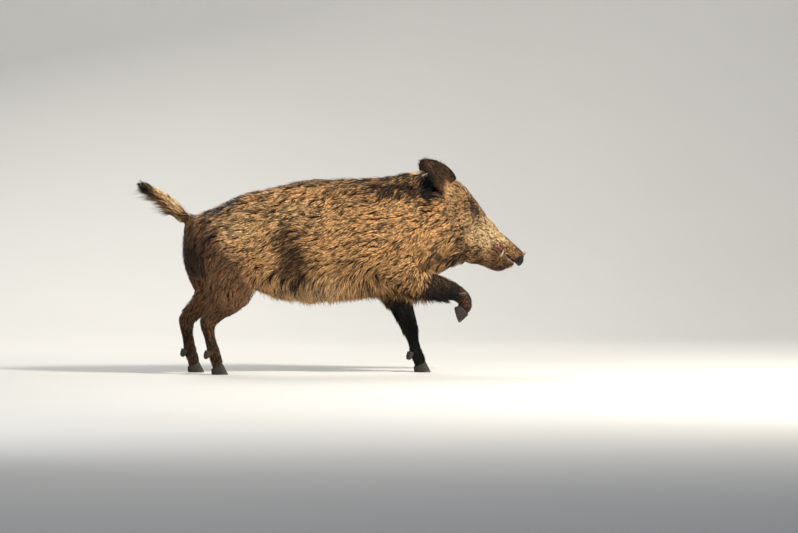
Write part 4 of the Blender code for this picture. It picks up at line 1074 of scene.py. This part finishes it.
def coat_piece(name, chosen, rings, gather, wild, tufts_each):
    """One piece of the coat from its roots: rings are the places of the cross sections along a tuft."""
    place, normal = roots[chosen], facing[chosen]
    depth, size, wide, loose, raised = at_root[chosen, :5].T
    tufts = len(place)
    flow = turned(face_lie[root_face[chosen]], normal, np.zeros(tufts))
    lock, sideways = in_locks(place, flow, tufts_each)
    locks = lock.max() + 1
    swing = rng.normal(0, wild, locks)[lock] + rng.normal(0, 0.6 * wild, tufts)
    size = size * rng.uniform(0.8, 1.15, locks)[lock] * rng.uniform(0.75, 1.2, tufts)
    size = size * (1 + 1.2 * np.minimum(raised, 0.3) * rng.random(locks)[lock] ** 3)
    inner = 1 - 0.35 * np.clip((sideways ** 2).sum(1) / 0.006 ** 2, 0, 1)
    rise = depth * rng.uniform(0.45, 1.1, locks)[lock] * rng.uniform(0.85, 1.1, tufts) * inner
    stray = rng.random(tufts) < STRAYS
    rise = np.where(stray, depth * 1.25, rise)
    flow = turned(flow, normal, swing)
    spine = [place - normal * ROOT_DEPTH]
    walk, ground, heading, before = place.copy(), normal.copy(), flow.copy(), 0.0
    for f in (*rings[1:], 1.0):
        walk = walk + heading * (size * (f - before))[:, None]
        found = [skin_tree.find_nearest(p) for p in walk.tolist()]
        walk = np.array([hit[0] for hit in found])
        ground = unit(0.5 * ground + np.array([hit[1] for hit in found]))
        heading = turned(face_lie[[hit[2] for hit in found]], ground, swing)
        laid = walk + ground * (rise * min(1.0, 0.25 + 0.95 * f))[:, None]
        off = rise * (0.4 + 0.8 * f) + size * raised * f * f
        straight = place + flow * (size * f)[:, None] + normal * off[:, None]
        straight[:, 2] -= DROOP * size * f * f * loose * (normal[:, 2] < 0.6)
        keep = (loose * f ** 1.2)[:, None]
        spine.append(laid * (1 - keep) + straight * keep - sideways * (gather * f ** 1.2))
        before = f
    spine = np.stack(spine, 1)
    spine[:, 1:, 2] = np.maximum(spine[:, 1:, 2], OVERHANG)
    steps = len(rings)
    across = unit(np.cross(normal, spine[:, 1] - spine[:, 0]))
    tilt = rng.normal(0, 0.35, tufts)[:, None]
    ridge = unit(np.cross(spine[:, 1] - spine[:, 0], across) + across * tilt)
    ridge *= np.sign((ridge * normal).sum(1, keepdims=True))
    half = wide * rng.uniform(0.35, 0.62, tufts)
    points = np.empty((tufts, 3 * steps + 1, 3), np.float32)
    for k, swell in enumerate(np.interp(rings, (0, 0.35, 0.8, 1), (0.7, 1.0, 0.66, 0))):
        breadth_here = (half * swell)[:, None]
        points[:, 3 * k] = spine[:, k] - across * breadth_here
        points[:, 3 * k + 1] = spine[:, k] + across * breadth_here
        points[:, 3 * k + 2] = spine[:, k] + ridge * breadth_here * 0.8
    points[:, -1] = spine[:, -1]
    blade = [(0, 2, 1)]
    for k in range(0, 3 * (steps - 1), 3):
        for s, t in ((0, 1), (1, 2), (2, 0)):
            blade += [(k + s, k + t, k + t + 3), (k + s, k + t + 3, k + s + 3)]
    last = 3 * (steps - 1)
    blade += [(last + s, last + t, last + 3) for s, t in ((0, 1), (1, 2), (2, 0))]
    corners = points.shape[1]
    faces = np.array(blade) + (np.arange(tufts) * corners)[:, None, None]
    made = new_mesh(name, points.reshape(-1, 3), faces.reshape(-1, 3))
    strand = np.zeros((tufts, corners, 3), np.float32)
    strand[:, :, 0] = [*np.repeat(rings, 3), 1.0]
    strand[:, :, 1] = rng.random(tufts)[:, None]
    strand[:, :, 2] = rng.random(locks)[lock][:, None]
    give(made.data, "strand", strand.reshape(-1, 3))
    give(made.data, "marks", np.repeat(at_root[chosen, 5:8], corners, 0))
    give(made.data, "rooted", np.repeat(place, corners, 0))
    width = np.zeros((tufts, corners, 3), np.float32)
    width[:, :, 0] = [*([-1.0, 1.0, 0.0] * steps), 0.0]
    give(made.data, "width", width.reshape(-1, 3))
    patch = np.stack([width[:, :, 0], 2 * strand[:, :, 0] - 1], 2)
    bake_map(made, unwrapped(place, zone[chosen])[:, None] + PATCH * patch)
    made.data.materials.append(bristle)
    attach(made, "root")


bristle, tree, shader = finish("bristle", 0.55, 0.22)
along, chance, lock = split_up(tree, given(tree, "strand"))
across = times(tree, split_up(tree, given(tree, "width"))["X"], 2.2)
streak_at = add(tree, "ShaderNodeCombineXYZ", {"X": across, "Y": along, "Z": times(tree, chance, 90.0)})
streaks = noise(tree, streak_at.outputs["Vector"], 1.0, 1.5)
chance = plus(tree, times(tree, chance, 0.55), ramp(tree, streaks, 0.3, 0.7, 0.0, 0.45))
marks_in, rooted = given(tree, "marks"), given(tree, "rooted")
fur = coloured(tree, Marks=marks_in, Place=rooted, Chance=chance, Lock=lock, Along=along)
paint(shader, fur, None, streaks, 0.5, 0.0008)


def of(*kinds):
    """True at the roots on the solids of these kinds."""
    return which(zone, kinds)


LONG, SHORT = (0.0, 0.34, 0.7), (0.0, 0.45)
TRUNK_COAT = (LONG, 0.6, 0.15, 13)
trunk, right = of("trunk"), roots[:, 1] < 0
top, low = facing[:, 2] > 0.45, facing[:, 2] < -0.55
side, rear = trunk & ~(top | low), roots[:, 0] < -0.08
face = of("head", "lower_jaw")
PIECES = (  # name, roots, rings, how far a lock's tips close up, how wild the lie is, tufts in a lock
    ("coat_back_rear", trunk & top & rear, *TRUNK_COAT),
    ("coat_back_front", trunk & top & ~rear, *TRUNK_COAT),
    ("coat_flank_right_rear", side & right & rear, *TRUNK_COAT),
    ("coat_flank_right_front", side & right & ~rear, *TRUNK_COAT),
    ("coat_flank_left_rear", side & ~right & rear, *TRUNK_COAT),
    ("coat_flank_left_front", side & ~right & ~rear, *TRUNK_COAT),
    ("coat_belly", trunk & low, LONG, 0.6, 0.18, 13),
    ("coat_neck", of("neck"), *TRUNK_COAT),
    ("coat_head_right", face & right, SHORT, 0.3, 0.34, 7),
    ("coat_head_left", face & ~right, SHORT, 0.3, 0.34, 7),
    ("coat_thighs", of("thigh"), LONG, 0.55, 0.14, 12),
    ("coat_hind_legs", of("shank", "hindfoot"), SHORT, 0.45, 0.12, 8),
    ("coat_fore_legs", of("forearm", "forefoot"), SHORT, 0.45, 0.14, 8),
    ("coat_tail", of("tail"), LONG, 0.3, 0.12, 9),
    ("coat_ears", of("ear"), SHORT, 0.25, 0.15, 8),
)
for name, chosen, *look in PIECES:
    coat_piece(name, np.flatnonzero(chosen), *look)


# ==== Whiskers =================================================================
# Stiff single hairs: whiskers on the lips and chin, lashes on the upper lids and long
# brow hairs. Each is a closed tapered horn of five sides, bowed a little by its weight.

WHISKER_ROWS = (0.0, 0.22, 0.46, 0.7, 0.9)
WHISKER_SIDES = 5
WHISKER_SAG = np.array((-0.18, 0, -0.16))
chance = np.random.default_rng(11)
hairs = []  # root, way, reach, half breadth, darkness


def stand(at, way, reach, breadth, darkness):
    """A hair rooted where the hide is nearest to a place."""
    hit, out, _, _ = skin_tree.find_nearest(at)
    way = np.array(out) * way[0] + np.array(way[1:])
    hairs.append((np.array(hit) - np.array(out) * 0.002, aimed(way), reach, breadth, darkness))


for side in (-1, 1):
    for _ in range(30):  # upper lip
        x_at = chance.uniform(0.6, 0.68)
        z_at = 0.462 - 0.75 * (x_at - 0.595) + chance.uniform(0.01, 0.036)
        way = (0.8, chance.uniform(-0.75, -0.3), 0, chance.uniform(-0.6, 0.0))
        at = (x_at, side * 0.06, z_at)
        stand(at, way, chance.uniform(0.018, 0.04), 0.00032, chance.choice((0.0, 1.4)))
    for _ in range(24):  # chin and lower lip
        x_at = chance.uniform(0.57, 0.668)
        z_at = 0.44 - 0.6 * (x_at - 0.595) - chance.uniform(0.0, 0.03)
        at = (x_at, side * chance.uniform(0.01, 0.06), z_at)
        way = (0.7, chance.uniform(-0.8, -0.3), 0, -0.4)
        stand(at, way, chance.uniform(0.016, 0.036), 0.00032, chance.choice((0.3, 1.4)))
for name in EYES:
    centre, radius, out, front, above = eye_frame(name)
    for turn in np.linspace(0.25, 2.9, 18):  # lashes
        root = centre + EYE_SLIT[0] * math.cos(turn) * front + EYE_SLIT[1] * math.sin(turn) * above
        way = 0.75 * out + 0.5 * above + 0.45 * math.cos(turn) * front + 0.08 * chance.normal(size=3)
        hairs.append((root + out * radius * 0.92, aimed(way), chance.uniform(0.008, 0.0125), 0.00028, 1.5))
    for _ in range(12):  # brow
        at = centre + above * chance.uniform(0.01, 0.02) + front * chance.uniform(-0.014, 0.01)
        way = -0.5 * front + 0.25 * above + 0.15 * chance.normal(size=3)
        stand(tuple(at + out * radius), (0.7, *way), chance.uniform(0.016, 0.03), 0.00034, 1.4)

parts, strand_rows, mark_rows, patches = [], [], [], []
round_at = np.linspace(0, 2 * math.pi, WHISKER_SIDES, endpoint=False)[:, None]
along = np.array([*np.repeat(WHISKER_ROWS, WHISKER_SIDES), 0.0, 1.0])
flat = unwrapped(np.array([hair[0] for hair in hairs]), np.full(len(hairs), FLESH_NAMES.index("head")))
for (root, way, reach, breadth, darkness), place in zip(hairs, flat):
    first = aimed(np.cross(way, (0.0, 0.3, 1.0)))
    second = np.cross(way, first)
    rings = []
    for f in WHISKER_ROWS:
        here = root + way * reach * f + WHISKER_SAG * reach * f * f
        circle = np.cos(round_at) * first + np.sin(round_at) * second
        rings.append(here + breadth * (1 - f) ** 0.6 * circle)
    parts.append((np.array(rings), rings[0].mean(0), root + way * reach + WHISKER_SAG * reach))
    lot = 0 * along + chance.random()
    strand_rows.append(np.stack([np.clip(along + 0.4, 0, 1), lot, lot], 1))
    mark_rows.append(np.tile((darkness, 0.3, 0.0), (len(along), 1)))
    patches.append(place + PATCH * np.stack([0 * along, 2 * along - 1], 1))
whiskers = faced_out(new_mesh("coat_whiskers", *closed_rings(parts)))
give(whiskers.data, "strand", np.concatenate(strand_rows))
give(whiskers.data, "marks", np.concatenate(mark_rows))
give(whiskers.data, "rooted", np.repeat([hair[0] for hair in hairs], len(along), 0))
give(whiskers.data, "width", np.zeros((len(whiskers.data.vertices), 3)))
bake_map(whiskers, np.concatenate(patches))
whiskers.data.materials.append(bristle)
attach(whiskers, "root")
